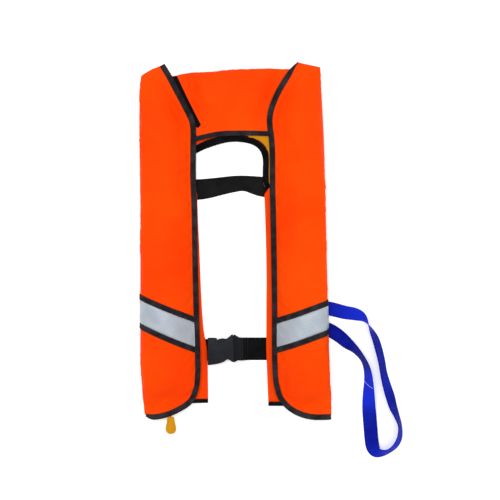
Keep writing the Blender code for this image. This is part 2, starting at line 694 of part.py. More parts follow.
def inflator_body():
    piece = box("inflator_body", (-154.0, -230.0, 10.6), (-119.0, -198.0, 34.8))
    clevis = box("clevis", (-138.0, -250.0, 14.0), (-117.0, -229.0, 31.2), CUTTERS)
    join(piece, clevis)
    cutters = [
        box("lever_slot", (-140.0, -252.0, AXIS_Z - 2.9), (-100.0, -229.3, AXIS_Z + 2.9), CUTTERS),
        round_bar("neck_bore", 5.6, (AXIS_X, -228.0, AXIS_Z), (AXIS_X, -190.0, AXIS_Z), 32, CUTTERS),
        round_bar("pin_bore", 2.7, (AXIS_X, -233.0, AXIS_Z), (AXIS_X, -220.0, AXIS_Z), 24, CUTTERS),
        round_bar("stem_bore", 4.5, (*STEM, 5.0), (*STEM, 40.0), 32, CUTTERS),
        round_bar("nut_seat", 7.8, (*STEM, 28.8), (*STEM, 40.0), 32, CUTTERS),
        round_bar("pivot_bore", 2.3, (*PIVOT, 5.0), (*PIVOT, 40.0), 24, CUTTERS)]
    cut(piece, *cutters)
    return finish(piece, YELLOW_PLASTIC)


def lever():
    """The pull lever with its cam, its origin on the pivot."""
    arm = [(0.0, -4.6), (6.0, -3.4), (LEVER_ARM - 3.0, -3.0), (LEVER_ARM + 1.0, -2.0),
           (LEVER_ARM + 2.6, 0.0), (LEVER_ARM + 1.0, 2.0), (LEVER_ARM - 3.0, 3.0),
           (6.0, 3.6), (0.0, 5.2), (-5.0, 5.6), (-9.6, 3.0), (-10.4, 0.2), (-8.0, -2.4)]
    piece = solid_plate("inflator_lever", arm, AXIS_Z - 2.5, AXIS_Z + 2.5)
    piece.data.transform(Matrix.Rotation(LEVER_REST, 4, "Z"))
    piece.location = (PIVOT[0] * MM, PIVOT[1] * MM, 0.0)
    bore = round_bar("lever_bore", 2.3, (*PIVOT, 10.0), (*PIVOT, 36.0), 24, CUTTERS)
    cut(piece, bore)
    return finish(piece, YELLOW_PLASTIC)


def lever_pin():
    return finish(round_bar("lever_pin", 2.0, (*PIVOT, 13.4), (*PIVOT, 31.8)), STEEL, 40)


def status_clip():
    """The green clip that shows an armed inflator, beside the lever's rest place."""
    return finish(box("status_clip", (-118.7, -226.0, 18.4), (-115.6, -205.0, 26.8)), GREEN)


def firing_pin():
    profile = [(0.0, 22.5), (0.5, 22.2), (2.2, 18.5), (2.2, 5.8), (4.8, 5.6), (4.8, 4.2),
               (2.4, 4.0), (2.4, 0.0), (0.0, 0.0)]
    piece = turned("firing_pin", profile, (AXIS_X, -231.4, AXIS_Z), (0, 1, 0), 20)
    return finish(piece, STEEL, 40)


def return_spring():
    """The spring round the firing pin, as a helix worked out turn by turn."""
    turns, per_turn, radius, start, length = 5, 10, 3.9, -225.2, 14.5
    points = []
    for step in range(turns * per_turn + 1):
        angle = 2 * math.pi * step / per_turn
        points.append((AXIS_X + radius * math.cos(angle),
                       start + length * step / (turns * per_turn),
                       AXIS_Z + radius * math.sin(angle)))
    return finish(tube("return_spring", points, 0.4, 1), STEEL)


def co2_cylinder():
    radius = CYLINDER_RADIUS
    profile = [(0.0, 140.0), (4.0, 139.6), (8.5, 137.4), (11.4, 133.6), (radius, 128.0),
               (radius, 24.0), (11.6, 19.6), (8.6, 15.4), (6.2, 12.6), (5.0, 10.6), (5.0, 0.4),
               (4.6, 0.0), (2.4, 0.0), (2.4, 4.0), (0.0, 4.0)]
    piece = turned("co2_cylinder", profile, (AXIS_X, -206.0, AXIS_Z), (0, 1, 0), 36)
    return finish(piece, STEEL, 40)


def cylinder_gasket():
    profile = [(5.4, 1.2), (8.6, 1.2), (8.6, 0.0), (5.4, 0.0), (5.4, 1.2)]
    piece = turned("cylinder_gasket", profile, (AXIS_X, -197.7, AXIS_Z), (0, 1, 0), 32)
    return finish(piece, BLACK_PLASTIC, 40)


def lever_tip():
    """Where the pull cord hangs, just below the lever's tip."""
    x = PIVOT[0] + LEVER_ARM * math.cos(LEVER_REST)
    y = PIVOT[1] + LEVER_ARM * math.sin(LEVER_REST)
    return x, y - 10.0


def pull_cord():
    x, y = lever_tip()
    foot = TOGGLE_TOP[0] - x
    route = [(x, y, AXIS_Z), (x, y - 6.0, AXIS_Z - 3.0), (x + foot * 0.1, y - 13.0, 15.0),
             (x + foot * 0.25, y - 20.0, 9.2), (x + foot * 0.42, y - 29.0, 5.6),
             (x + foot * 0.6, y - 42.0, 4.6), (x + foot * 0.85, y - 60.0, 4.5),
             (TOGGLE_TOP[0], TOGGLE_TOP[1] + 0.4, 4.9)]
    return finish(tube("pull_cord", smooth_path(route, 4), 0.9), BLACK_WEB)


def pull_toggle():
    """The teardrop handle at the end of the pull cord."""
    profile = [(0.0, 0.0), (3.4, -0.8), (5.4, -4.0), (7.0, -9.0), (8.6, -15.0), (9.4, -20.0),
               (8.8, -24.4), (6.6, -27.8), (3.4, -29.4), (0.0, -29.8)]
    piece = turned("pull_toggle", profile, (*TOGGLE_TOP, 9.5), (0, 1, 0), 28)
    return finish(piece, YELLOW_PLASTIC, 50)


# ---------------------------------------------------------------- oral tube and whistle

def oral_tube():
    """The mouth tube: a flange on the bladder, the tube, its valve and its dust cap."""
    place = (TUBE_X, -84.0, BLADDER_THIN + GAP)
    finish(turned("oral_tube_flange", [(0.0, 19.0), (5.6, 19.0), (7.2, 17.4), (7.2, 2.2),
                                       (16.4, 1.6), (17.0, 1.2), (17.0, 0.0), (0.0, 0.0)],
                  place, (0, 0, 1)), YELLOW_PLASTIC, 40)
    route = [(TUBE_X, -76.4, TUBE_Z), (TUBE_X, -66.0, TUBE_Z), (TUBE_X - 2.4, -40.0, TUBE_Z),
             (TUBE_X - 2.0, -8.0, TUBE_Z), (TUBE_X, 22.0, TUBE_Z), (TUBE_X, 43.0, TUBE_Z)]
    finish(tube("oral_tube", smooth_path(route, 3), 5.0, 3), BLACK_PLASTIC)
    housing = [(0.0, 8.0), (4.6, 8.0), (4.6, 24.0), (7.6, 24.0), (8.0, 23.4), (8.0, 2.0),
               (6.4, 0.0), (0.0, 0.0)]
    finish(turned("oral_valve_housing", housing, (TUBE_X, 43.6, TUBE_Z), (0, 1, 0)),
           BLACK_PLASTIC, 40)
    finish(turned("oral_valve", [(0.0, 13.6), (2.0, 13.6), (4.0, 12.0), (4.0, 8.6), (1.4, 8.4),
                                 (1.4, 0.0), (0.0, 0.0)], (TUBE_X, 55.4, TUBE_Z), (0, 1, 0), 24),
           STEEL, 40)
    cap = [(0.0, 16.0), (9.0, 16.0), (10.2, 14.8), (10.2, 0.0), (8.5, 0.0), (8.5, 13.4),
           (0.0, 13.4)]
    finish(turned("oral_cap", cap, (TUBE_X, 57.0, TUBE_Z), (0, 1, 0)), YELLOW_PLASTIC, 40)


def whistle():
    """A flat pealess whistle, held on the bladder by an elastic keeper."""
    outline = [(104.0, -176.0), (104.0, -138.0), (108.0, -132.0), (120.0, -132.0),
               (124.0, -138.0), (124.0, -176.0)]
    piece = solid_plate("whistle", outline, BLADDER_THIN + GAP, 17.5)
    window = box("whistle_window", (107.0, -150.0, 13.0), (121.0, -146.0, 19.0), CUTTERS)
    mouth = box("whistle_mouth", (107.5, -180.0, 11.5), (120.5, -170.0, 14.5), CUTTERS)
    cut(piece, window, mouth)
    finish(piece, ORANGE_PLASTIC)
    profile = [(99.0, 8.3), (103.4, 8.3), (103.4, 17.8), (124.6, 17.8), (124.6, 8.3),
               (129.0, 8.3), (129.0, 9.2), (125.6, 9.2), (125.6, 18.8), (102.4, 18.8),
               (102.4, 9.2), (99.0, 9.2)]
    keeper = solid_plate("whistle_keeper", profile, -8.0, 8.0)
    keeper.data.transform(Matrix.Translation((0, -0.160, 0)) @ Matrix.Rotation(math.pi / 2, 4, "X"))
    finish(keeper, BLACK_WEB)


# ---------------------------------------------------------------- assembly

clear_scene()
PARTS = make_collection("inflatable_life_jacket")
CUTTERS = make_collection("cutters")

ORANGE = make_material("orange_fabric", (1.0, 0.075, 0.004), 0.75)
ORANGE_PLASTIC = make_material("orange_plastic", (1.0, 0.12, 0.01), 0.4)
BLACK_TAPE = make_material("black_tape", (0.02, 0.017, 0.02), 0.8)
BLACK_WEB = make_material("black_webbing", (0.008, 0.008, 0.009), 0.7)
BLUE_WEB = make_material("blue_webbing", (0.01, 0.015, 0.5), 0.6)
SILVER = make_material("reflective_silver", (0.55, 0.6, 0.66), 0.35)
YELLOW = make_material("yellow_coated_fabric", (0.7, 0.3, 0.01), 0.5)
YELLOW_PLASTIC = make_material("yellow_plastic", (0.68, 0.35, 0.005), 0.35)
BLACK_PLASTIC = make_material("black_plastic", (0.018, 0.018, 0.02), 0.35)
GREEN = make_material("green_plastic", (0.02, 0.4, 0.05), 0.4)
STEEL = make_material("plated_steel", (0.6, 0.6, 0.6), 0.3, 1.0)
BRASS = make_material("brass", (0.7, 0.5, 0.2), 0.3, 1.0)

back_panel()
neckline_binding()
back_hems()
bladder()
back_strap()
blue_strap()

left, right = patch_left(), patch_right()
left_side, left_foot = edges_left()
right_side, right_foot = edges_right()
mirrored_columns = [1.0 - u for u in COLUMNS[::-1]]
cover("left", left, COLUMNS, left_side[:-1] + left_foot, -1)
cover("right", right, mirrored_columns, right_side[:-1] + right_foot, 1)
reflective_tape("left", left, COLUMNS[1:], ((-172.0, -158.0), (-72.0, -199.0)))
reflective_tape("right", right, mirrored_columns[:-1], ((76.0, -199.0), (169.0, -170.5)))
collar()
hook_and_loop("left", (-83.0, -225.0), (-72.0, 146.0))
hook_and_loop("right", (72.0, -225.0), (81.0, 20.0))
hook_and_loop("collar", (-60.0, 192.0), (8.0, 202.0))

buckle = buckle_frame()
buckle_socket(buckle)
buckle_plug(buckle)
buckle_prongs(buckle)
looped_webbing("waist_webbing_left", -160.0, -46.0, -215.0, -177.0, 4.0)
looped_webbing("waist_webbing_right", 112.0, 10.6, -212.0, -174.0, 14.5)

manifold()
inflator_body()
lever()
lever_pin()
status_clip()
firing_pin()
return_spring()
co2_cylinder()
cylinder_gasket()
pull_cord()
pull_toggle()
oral_tube()
whistle()
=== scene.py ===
"""Looks for the inflatable life jacket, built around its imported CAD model.

The jacket lies on its back with its front face up. +X is the viewer's right, +Y the collar
and +Z the front. Lengths are in metres. The soft pieces take their places from the CAD nodes
that they stand for; the two cords repeat their routes.
"""

import functools
import math

import bmesh
import bpy
import numpy as np
from mathutils import Matrix, Vector, noise
from mathutils.bvhtree import BVHTree


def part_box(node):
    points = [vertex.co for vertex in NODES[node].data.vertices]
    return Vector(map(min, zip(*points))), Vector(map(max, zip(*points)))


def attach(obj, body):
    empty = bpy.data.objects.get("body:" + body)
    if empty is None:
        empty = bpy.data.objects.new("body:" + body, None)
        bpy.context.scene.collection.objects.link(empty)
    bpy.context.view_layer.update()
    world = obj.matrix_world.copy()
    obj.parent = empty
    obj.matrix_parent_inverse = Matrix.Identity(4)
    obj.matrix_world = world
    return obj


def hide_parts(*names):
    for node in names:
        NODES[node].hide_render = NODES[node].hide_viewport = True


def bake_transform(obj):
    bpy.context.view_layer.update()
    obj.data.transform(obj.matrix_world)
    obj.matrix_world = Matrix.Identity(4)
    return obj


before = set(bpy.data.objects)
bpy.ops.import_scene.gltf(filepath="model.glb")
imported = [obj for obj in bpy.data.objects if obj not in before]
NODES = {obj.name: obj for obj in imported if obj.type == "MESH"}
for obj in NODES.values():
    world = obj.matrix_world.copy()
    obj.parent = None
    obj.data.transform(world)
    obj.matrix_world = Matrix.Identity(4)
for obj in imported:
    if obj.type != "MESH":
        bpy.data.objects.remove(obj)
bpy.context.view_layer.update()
MM = 0.001
UP = Vector((0.0, 0.0, 1.0))

# ---------------------------------------------------------------- sizes

TAPE_THICK = 2.2 * MM         # edge binding, folded over the edge it covers
SHEET_THICK = 0.6 * MM        # coated fabric
PANEL_THICK = 0.9 * MM        # the back panel and the collar's end tape
WEBBING = 1.6 * MM            # thickness of the straps
STRAP_WIDTH = 25.0 * MM       # of the blue strap
CORD_RADIUS = 0.9 * MM        # of the pull cord
THREAD = 0.35 * MM            # radius of the sewing thread
STITCH = 3.2 * MM             # one stitch and the gap after it
EDGING = 11.0 * MM            # width of the reflective tape's black edgings
EDGE_LEVEL = 9.6 * MM         # height of the covers' bound edges
PANEL_LEVEL = 2.4 * MM        # height of the back panel's middle
COLLAR_FLOOR = 8.3            # in mm: the collar's fabric stays clear of the strip sewn below it
SEEN_WIDTH = 0.900            # width of the picture at the height of the bound edges
CAMERA_PLACE = (0.0270, -0.0160)  # over the jacket, a little towards the blue strap


# ---------------------------------------------------------------- camera

def aim_camera():
    """A long lens straight above, with the collar at the top of the picture."""
    data = bpy.data.cameras.new("camera")
    data.lens = 100.0
    data.clip_end = 20.0
    camera = link("camera", data)
    camera.location = (*CAMERA_PLACE, SEEN_WIDTH * data.lens / data.sensor_width + EDGE_LEVEL)
    bpy.context.scene.camera = camera


# ---------------------------------------------------------------- geometry helpers

def smooth_step(low, high, value):
    t = min(max((value - low) / (high - low), 0.0), 1.0)
    return t * t * (3.0 - 2.0 * t)


def smooth_path(points, steps):
    """Points on a Catmull-Rom curve through the given points, of any dimension."""
    path = np.array(points, float)
    path = np.vstack([2 * path[0] - path[1], path, 2 * path[-1] - path[-2]])
    found = []
    for a, b, c, d in zip(path, path[1:], path[2:], path[3:]):
        for step in range(steps):
            t = step / steps
            found.append(0.5 * (2 * b + (c - a) * t + (2 * a - 5 * b + 4 * c - d) * t ** 2
                                + (3 * b - a - 3 * c + d) * t ** 3))
    return np.array(found + [path[-2]])


def lengths_along(path):
    path = np.asarray(path, float)
    return np.concatenate([[0.0], np.cumsum(np.linalg.norm(np.diff(path, axis=0), axis=1))])


def between(rows, at, wanted):
    """Rows of coordinates, known at some values, in between them at the wanted ones."""
    return np.stack([np.interp(wanted, at, column) for column in np.asarray(rows).T], axis=-1)


def resample(path, count):
    """The same path with points spaced evenly along it."""
    at = lengths_along(path)
    return between(path, at, np.linspace(0.0, at[-1], count))


def rounded_corners(path, passes=2):
    """The path with its corners cut back a little, ends kept."""
    path = np.asarray(path, float)
    for _ in range(passes):
        inner = path.copy()
        inner[1:-1] = (path[:-2] + 2 * path[1:-1] + path[2:]) / 4
        path = inner
    return path


def upper_outline(node):
    """The outline of the upward faces of a flat CAD node, as an ordered loop of points."""
    mesh = NODES[node].data
    count = {}
    for face in mesh.polygons:
        if face.normal.z > 0.25:
            corners = [tuple(round(x, 6) for x in mesh.vertices[i].co) for i in face.vertices]
            for a, b in zip(corners, corners[1:] + corners[:1]):
                count[(a, b)] = count.get((a, b), 0) + 1
    follows = {a: b for a, b in count if (b, a) not in count}
    start = min(follows)
    loop = [start]
    while follows[loop[-1]] != start:
        loop.append(follows[loop[-1]])
    return np.array(loop)


def long_sides(node):
    """The two long sides of a band-shaped CAD node, both running the same way."""
    loop = upper_outline(node)
    before, after = loop - np.roll(loop, 1, axis=0), np.roll(loop, -1, axis=0) - loop
    before = before[:, :2] / np.linalg.norm(before[:, :2], axis=1)[:, None]
    after = after[:, :2] / np.linalg.norm(after[:, :2], axis=1)[:, None]
    turning = (before * after).sum(axis=1)
    a, b, c, d = sorted(np.argsort(turning)[:4])
    around = np.roll(loop, -a, axis=0)
    size = len(loop)
    sides = [around[:b - a + 1], around[b - a:c - a + 1], around[c - a:d - a + 1],
             np.vstack([around[d - a:size], around[:1]])]
    total = [lengths_along(side)[-1] for side in sides]
    if total[0] + total[2] > total[1] + total[3]:
        return sides[0], sides[2][::-1]
    return sides[1], sides[3][::-1]


def link(name, data):
    piece = bpy.data.objects.new(name, data)
    bpy.context.scene.collection.objects.link(piece)
    return piece


def mesh_piece(name, points, faces, uvs=None, smooth=True):
    """A mesh object. uvs gives each point's place on the cloth, in metres."""
    mesh = bpy.data.meshes.new(name)
    mesh.from_pydata([tuple(map(float, p)) for p in points], [], faces)
    if uvs is not None:
        layer = mesh.uv_layers.new(name="cloth")
        for loop in mesh.loops:
            layer.data[loop.index].uv = uvs[loop.vertex_index]
    if smooth:
        mesh.shade_smooth()
    mesh.update()
    return link(name, mesh)


def swept(name, rings, across):
    """A closed tube of rings, each a closed row of points. across is each point's UV across."""
    rings = np.asarray(rings)
    rows, size = rings.shape[:2]
    along = lengths_along(rings.mean(axis=1))
    uvs = [(across[k], along[r]) for r in range(rows) for k in range(size)]
    faces = [[r * size + k, r * size + (k + 1) % size,
              (r + 1) * size + (k + 1) % size, (r + 1) * size + k]
             for r in range(rows - 1) for k in range(size)]
    faces.append(list(range(size))[::-1])
    faces.append([(rows - 1) * size + k for k in range(size)])
    return fix_normals(mesh_piece(name, rings.reshape(-1, 3), faces, uvs))


def band_section(sides, thick, bulge=0.0):
    """A flat band's cross-section: (share across from -1 to 1, height), anticlockwise."""
    half = thick / 2
    lower = [(s, -half) for s in np.linspace(-1, 1, sides)[1:-1]]
    upper = [(s, half + bulge * (1 - s * s)) for s in np.linspace(1, -1, sides)[1:-1]]
    return ([(-0.985, -half * 0.75)] + lower + [(0.985, -half * 0.75), (1.0, 0.0),
            (0.985, half * 0.75)] + upper + [(-0.985, half * 0.75), (-1.0, 0.0)])


def band(name, first, second, level, thick, step=4.0 * MM, bulge=0.0, ripple=0.0, seed=0):
    """A flat band between two side paths at a height, with a soft section and small puckers."""
    count = max(int(lengths_along(first)[-1] / step), 2) + 1
    first, second = (resample(rounded_corners(side), count) for side in (first, second))
    section = band_section(7, thick, bulge)
    middle, half = (first + second) / 2, (second - first) / 2
    rings = []
    for row in range(count):
        pucker = ripple * noise.noise(Vector((row * 0.31, seed, 0.0))) / thick
        width = 1.0 + 0.12 * pucker
        height = level(middle[row]) if callable(level) else level
        rings.append([(*(middle[row] + half[row] * share * width)[:2],
                       height + tall * (1.0 + pucker)) for share, tall in section])
    half_width = float(np.linalg.norm(half, axis=1).mean())
    return swept(name, rings, [share * half_width for share, _ in section])


def fix_normals(piece):
    bm = bmesh.new()
    bm.from_mesh(piece.data)
    bmesh.ops.recalc_face_normals(bm, faces=bm.faces)
    bm.to_mesh(piece.data)
    bm.free()
    return piece


def solidify(piece, thick, offset=-1.0):
    """Give a flat piece a thickness: below its face, or on both sides of it with offset 0."""
    solid = piece.modifiers.new("thickness", "SOLIDIFY")
    solid.thickness = thick
    solid.offset = offset


def soften_edges(piece, width, segments, angle):
    """Round a piece's edges that turn by more than an angle in degrees."""
    soft = piece.modifiers.new("soft_edges", "BEVEL")
    soft.width = width
    soft.segments = segments
    soft.limit_method = "ANGLE"
    soft.angle_limit = math.radians(angle)


def apply_modifiers(piece):
    """Bake a piece's modifiers into its mesh."""
    graph = bpy.context.evaluated_depsgraph_get()
    made = bpy.data.meshes.new_from_object(piece.evaluated_get(graph), depsgraph=graph)
    piece.modifiers.clear()
    piece.data = made
    return piece


STITCH_PROFILE = [  # share of one stitch's length, its lift and its size in thread radii
    (0.0, -0.7, 0.55), (0.18, 0.25, 0.95), (0.5, 0.6, 1.0), (0.82, 0.25, 0.95), (1.0, -0.7, 0.55)]


def stitches(name, path, normals=None, pitch=STITCH, share=0.72, radius=THREAD):
    """A row of stitches along a path: short threads that dip into the cloth at each end.

    normals point out of the cloth at each point of the path, straight up if left out."""
    path = np.asarray(path, float)
    normals = np.tile([0.0, 0.0, 1.0], (len(path), 1)) if normals is None else np.asarray(normals)
    at = lengths_along(path)
    points, faces, uvs = [], [], []
    sides = 6
    for index in range(int(at[-1] / pitch)):
        first = len(points)
        for t, lift, size in STITCH_PROFILE:
            place = (index + 0.14) * pitch + t * share * pitch
            middle, normal = between(path, at, place), between(normals, at, place)
            side = np.cross(between(path, at, place + 0.5 * MM) - middle, normal)
            side = side / max(np.linalg.norm(side), 1e-9)
            for corner in range(sides):
                angle = math.tau * corner / sides
                points.append(middle + radius * (size * math.cos(angle) * side
                              + (lift + size * math.sin(angle)) * normal))
                uvs.append((angle * radius, t * pitch))
        last = len(points) - sides
        for ring in range(first, last, sides):
            for corner in range(sides):
                after = (corner + 1) % sides
                faces.append([ring + corner, ring + after, ring + sides + after,
                              ring + sides + corner])
        faces.append(list(range(first, first + sides))[::-1])
        faces.append(list(range(last, last + sides)))
    return fix_normals(mesh_piece(name, points, faces, uvs))


# ---------------------------------------------------------------- materials

class Shade:
    """A node material in the making, with short calls for its nodes."""

    def __init__(self, name, colour, roughness, shine=0.5, **settings):
        self.material = bpy.data.materials.new(name)
        self.material.use_nodes = True
        self.tree = self.material.node_tree
        self.shader = self.tree.nodes["Principled BSDF"]
        self.shader.inputs["Base Color"].default_value = (*colour, 1.0)
        self.shader.inputs["Roughness"].default_value = roughness
        self.shader.inputs["Specular IOR Level"].default_value = shine
        for key, value in settings.items():
            self.shader.inputs[key.replace("_", " ")].default_value = value

    def node(self, kind, inputs=(), **settings):
        made = self.tree.nodes.new(kind)
        for key, value in settings.items():
            setattr(made, key, value)
        for key, value in dict(inputs).items():
            if isinstance(value, bpy.types.NodeSocket):
                self.tree.links.new(value, made.inputs[key])
            else:
                made.inputs[key].default_value = value
        return made

    def math(self, operation, *values):
        return self.node("ShaderNodeMath", dict(enumerate(values)), operation=operation).outputs[0]

    def plus(self, one, other):
        return self.math("ADD", one, other)

    def times(self, one, other):
        return self.math("MULTIPLY", one, other)

    def place(self, source="Object"):
        return self.node("ShaderNodeTexCoord").outputs[source]

    def split(self, vector):
        parts = self.node("ShaderNodeSeparateXYZ", {0: vector}).outputs
        return parts[0], parts[1], parts[2]

    def noise(self, vector, scale, detail=2.0, roughness=0.5):
        return self.node("ShaderNodeTexNoise", {"Vector": vector, "Scale": scale, "Detail": detail,
                                                "Roughness": roughness}).outputs["Fac"]

    def ramp(self, factor, *stops):
        """A colour ramp. stops are (position, colour)."""
        made = self.node("ShaderNodeValToRGB", {"Fac": factor})
        elements = made.color_ramp.elements
        while len(elements) < len(stops):
            elements.new(0.5)
        for element, (position, colour) in zip(elements, stops):
            element.position = position
            element.color = (*colour, 1.0)
        return made.outputs["Color"]

    def mix(self, factor, first, second):
        made = self.node("ShaderNodeMix", data_type="RGBA")
        for socket, value in zip((made.inputs[0], made.inputs[6], made.inputs[7]),
                                 (factor, first, second)):
            if isinstance(value, bpy.types.NodeSocket):
                self.tree.links.new(value, socket)
            else:
                socket.default_value = value if isinstance(value, float) else (*value, 1.0)
        return made.outputs[2]

    def ranged(self, value, low, high, from_low=0.0, from_high=1.0):
        return self.node("ShaderNodeMapRange", {"Value": value, "From Min": from_low,
                                                "From Max": from_high, "To Min": low,
                                                "To Max": high}).outputs[0]

    def bump(self, height, distance, strength=1.0, below=None):
        inputs = {"Height": height, "Distance": distance, "Strength": strength}
        if below is not None:
            inputs["Normal"] = below
        return self.node("ShaderNodeBump", inputs).outputs["Normal"]

    def use(self, **sockets):
        for key, value in sockets.items():
            self.tree.links.new(value, self.shader.inputs[key.replace("_", " ")])
        return self.material

    def ribs(self, along, pitch):
        """Height of round ribs, one after another."""
        turns = self.math("FRACT", self.math("DIVIDE", along, pitch))
        return self.math("SINE", self.times(turns, math.pi))

    def weave(self, x, y, pitch):
        """Height of a plain weave: threads along x and y in turn pass over each other."""
        cells = [self.math("FLOOR", self.math("DIVIDE", axis, pitch)) for axis in (x, y)]
        over = self.math("FLOORED_MODULO", self.plus(*cells), 2.0)
        across, along = self.ribs(x, pitch), self.ribs(y, pitch)
        warp = self.times(across, self.ranged(along, 0.55, 1.0))
        weft = self.times(along, self.ranged(across, 0.55, 1.0))
        return self.plus(self.times(over, warp),
                         self.times(self.math("SUBTRACT", 1.0, over), weft))


def coated_fabric(name, low, high, pitch=0.55 * MM, roughness=0.6, folds=0.5):
    """Coated woven fabric: a fine weave, soft handling marks and a slow change of colour."""
    shade = Shade(name, high, roughness, 0.03)
    place = shade.place()
    x, y, _ = shade.split(place)
    weave = shade.weave(x, y, pitch)
    slow = shade.noise(place, 7.0, 3.0, 0.55)
    fine = shade.noise(place, 900.0, 2.0)
    colour = shade.ramp(slow, (0.34, low), (0.66, high))
    # Painted shade: the colour darkens in the weave's valleys
    painted_valley_shade = shade.ranged(weave, 0.16, 0.0)
    colour = shade.mix(painted_valley_shade, colour, tuple(c * 0.45 for c in low))
    colour = shade.mix(shade.ranged(fine, 0.0, 0.10, 0.55, 0.75), colour, (0.0, 0.0, 0.0))
    crease = shade.noise(place, 26.0, 3.0, 0.6)
    normal = shade.bump(crease, 1.6 * MM, folds * 0.35)
    normal = shade.bump(weave, 0.10 * MM, 0.55, normal)
    rough = shade.ranged(crease, roughness - 0.06, roughness + 0.10)
    return shade.use(Base_Color=colour, Roughness=rough, Normal=normal)


def ribbed_tape(name, dark, light):
    """Binding tape: ribs across its width, a woven edge and a painted highlight: paler ridge tops,
    in patches.
    """
    shade = Shade(name, dark, 0.78, 0.04)
    x, y, _ = shade.split(shade.place("UV"))
    ribs = shade.ribs(shade.plus(y, shade.times(x, 0.55)), 0.95 * MM)
    threads = shade.ribs(x, 0.5 * MM)
    height = shade.times(ribs, shade.ranged(threads, 0.6, 1.0))
    # Painted highlight: in patches, the tops of the ribs are paler
    highlight_patches = shade.noise(shade.place(), 55.0, 3.0)
    pale = shade.times(height, shade.ranged(highlight_patches, 0.1, 1.0, 0.4, 0.7))
    return shade.use(Base_Color=shade.mix(pale, dark, light),
                     Normal=shade.bump(height, 0.22 * MM, 0.8))


PICK_COLUMN = 1.9 * MM        # width of one column of leaning picks in the webbing


def webbing(name, dark, light, source="UV", lengthwise="y", rib=1.5 * MM, roughness=0.62,
            painted_light_tones=(), length=1.0):
    """Polyester webbing: rows of short picks that lean one way and then the other.

    Painted light and shade along the length, as (share of it, brightness), bright where it faces
    the lamps."""
    shade = Shade(name, dark, roughness, 0.03)
    x, y, _ = shade.split(shade.place(source))
    along, across = (y, x) if lengthwise == "y" else (x, y)
    column = shade.math("FRACT", shade.math("DIVIDE", across, PICK_COLUMN))
    lean = shade.math("ABSOLUTE", shade.math("SUBTRACT", column, 0.5))
    picks = shade.ribs(shade.plus(along, shade.times(lean, 1.7 * MM)), rib)
    height = shade.times(picks, shade.ranged(shade.ribs(across, PICK_COLUMN / 2), 0.5, 1.0))
    # Painted highlight: in patches, the tops of the picks are paler
    highlight_patches = shade.noise(shade.place(), 40.0, 3.0)
    pale = shade.times(height, shade.ranged(highlight_patches, 0.35, 1.0, 0.35, 0.7))
    colour = shade.mix(pale, dark, light)
    if painted_light_tones:
        # Painted highlight and shade: the yarn turns brighter or darker along the length, by how
        # the strap faces the lamps
        painted_light = shade.ramp(shade.math("DIVIDE", y, length),
                            *[(at, (tone,) * 3) for at, tone in painted_light_tones])
        painted_highlight = tuple(min(c * 1.9, 1.0) for c in light)
        colour = shade.mix(painted_light, colour, shade.mix(height, light, painted_highlight))
    return shade.use(Base_Color=colour, Normal=shade.bump(height, 0.30 * MM, 0.85))


def reflective(name):
    """Reflective tape: silver film with a fine hexagonal seal under a clear face."""
    shade = Shade(name, (0.56, 0.61, 0.67), 0.42, 0.4, Metallic=0.12)
    x, y, _ = shade.split(shade.place("UV"))
    pitch = 3.1 * MM
    waves = None
    for turn in range(3):
        angle = math.radians(60 * turn + 12)
        line = shade.plus(shade.times(x, math.cos(angle)), shade.times(y, math.sin(angle)))
        wave = shade.math("COSINE", shade.times(line, math.tau / pitch))
        waves = wave if waves is None else shade.plus(waves, wave)
    cells = shade.ranged(waves, 0.0, 1.0, -1.5, 1.2)
    sparkle = shade.noise(shade.place("UV"), 2600.0, 1.0)
    tint = shade.noise(shade.place("UV"), 30.0, 2.0)
    silver = shade.ramp(tint, (0.35, (0.41, 0.47, 0.53)), (0.65, (0.52, 0.54, 0.59)))
    colour = shade.mix(cells, (0.30, 0.35, 0.40), silver)
    colour = shade.mix(shade.ranged(sparkle, 0.0, 0.45, 0.55, 0.8), colour, (0.74, 0.77, 0.82))
    return shade.use(Base_Color=colour, Normal=shade.bump(cells, 0.12 * MM, 0.5))


def thread(name, colour):
    """Twisted sewing thread."""
    shade = Shade(name, colour, 0.6, 0.3)
    x, y, _ = shade.split(shade.place("UV"))
    twist = shade.ribs(shade.plus(y, shade.times(x, 0.8)), 0.45 * MM)
    # Painted shade: the thread is darker in the grooves of its twist
    ply = shade.mix(shade.ranged(twist, 0.35, 0.0), colour, tuple(c * 0.3 for c in colour))
    return shade.use(Base_Color=ply, Normal=shade.bump(twist, 0.08 * MM, 0.8))


def moulded(name, colour, roughness=0.38, worn=None, shine=0.3):
    """Moulded plastic with a spark-eroded grain and slightly paler, worn places."""
    shade = Shade(name, colour, roughness, shine)
    place = shade.place()
    fine, broad = shade.noise(place, 2200.0, 2.0), shade.noise(place, 60.0, 4.0)
    worn = worn or tuple(min(c * 1.5 + 0.01, 1.0) for c in colour)
    tone = shade.mix(shade.ranged(broad, 0.0, 0.5, 0.45, 0.75), colour, worn)
    rough = shade.ranged(broad, roughness - 0.06, roughness + 0.12)
    return shade.use(Base_Color=tone, Roughness=rough, Normal=shade.bump(fine, 0.04 * MM, 0.5))


def plated(name, colour):
    """Plated metal with fine turning marks and a few dull patches."""
    shade = Shade(name, colour, 0.28, Metallic=1.0)
    place = shade.place()
    x, y, z = shade.split(place)
    drawn_out = shade.node("ShaderNodeCombineXYZ", {0: x, 1: shade.times(y, 40.0), 2: z})
    marks = shade.noise(drawn_out.outputs[0], 60.0, 3.0)
    dull = shade.noise(place, 45.0, 4.0)
    rough = shade.ranged(dull, 0.22, 0.50, 0.4, 0.75)
    tone = shade.mix(shade.ranged(dull, 0.0, 0.35, 0.5, 0.8), colour,
                     tuple(c * 0.6 for c in colour))
    return shade.use(Base_Color=tone, Roughness=rough, Normal=shade.bump(marks, 0.02 * MM, 0.4))


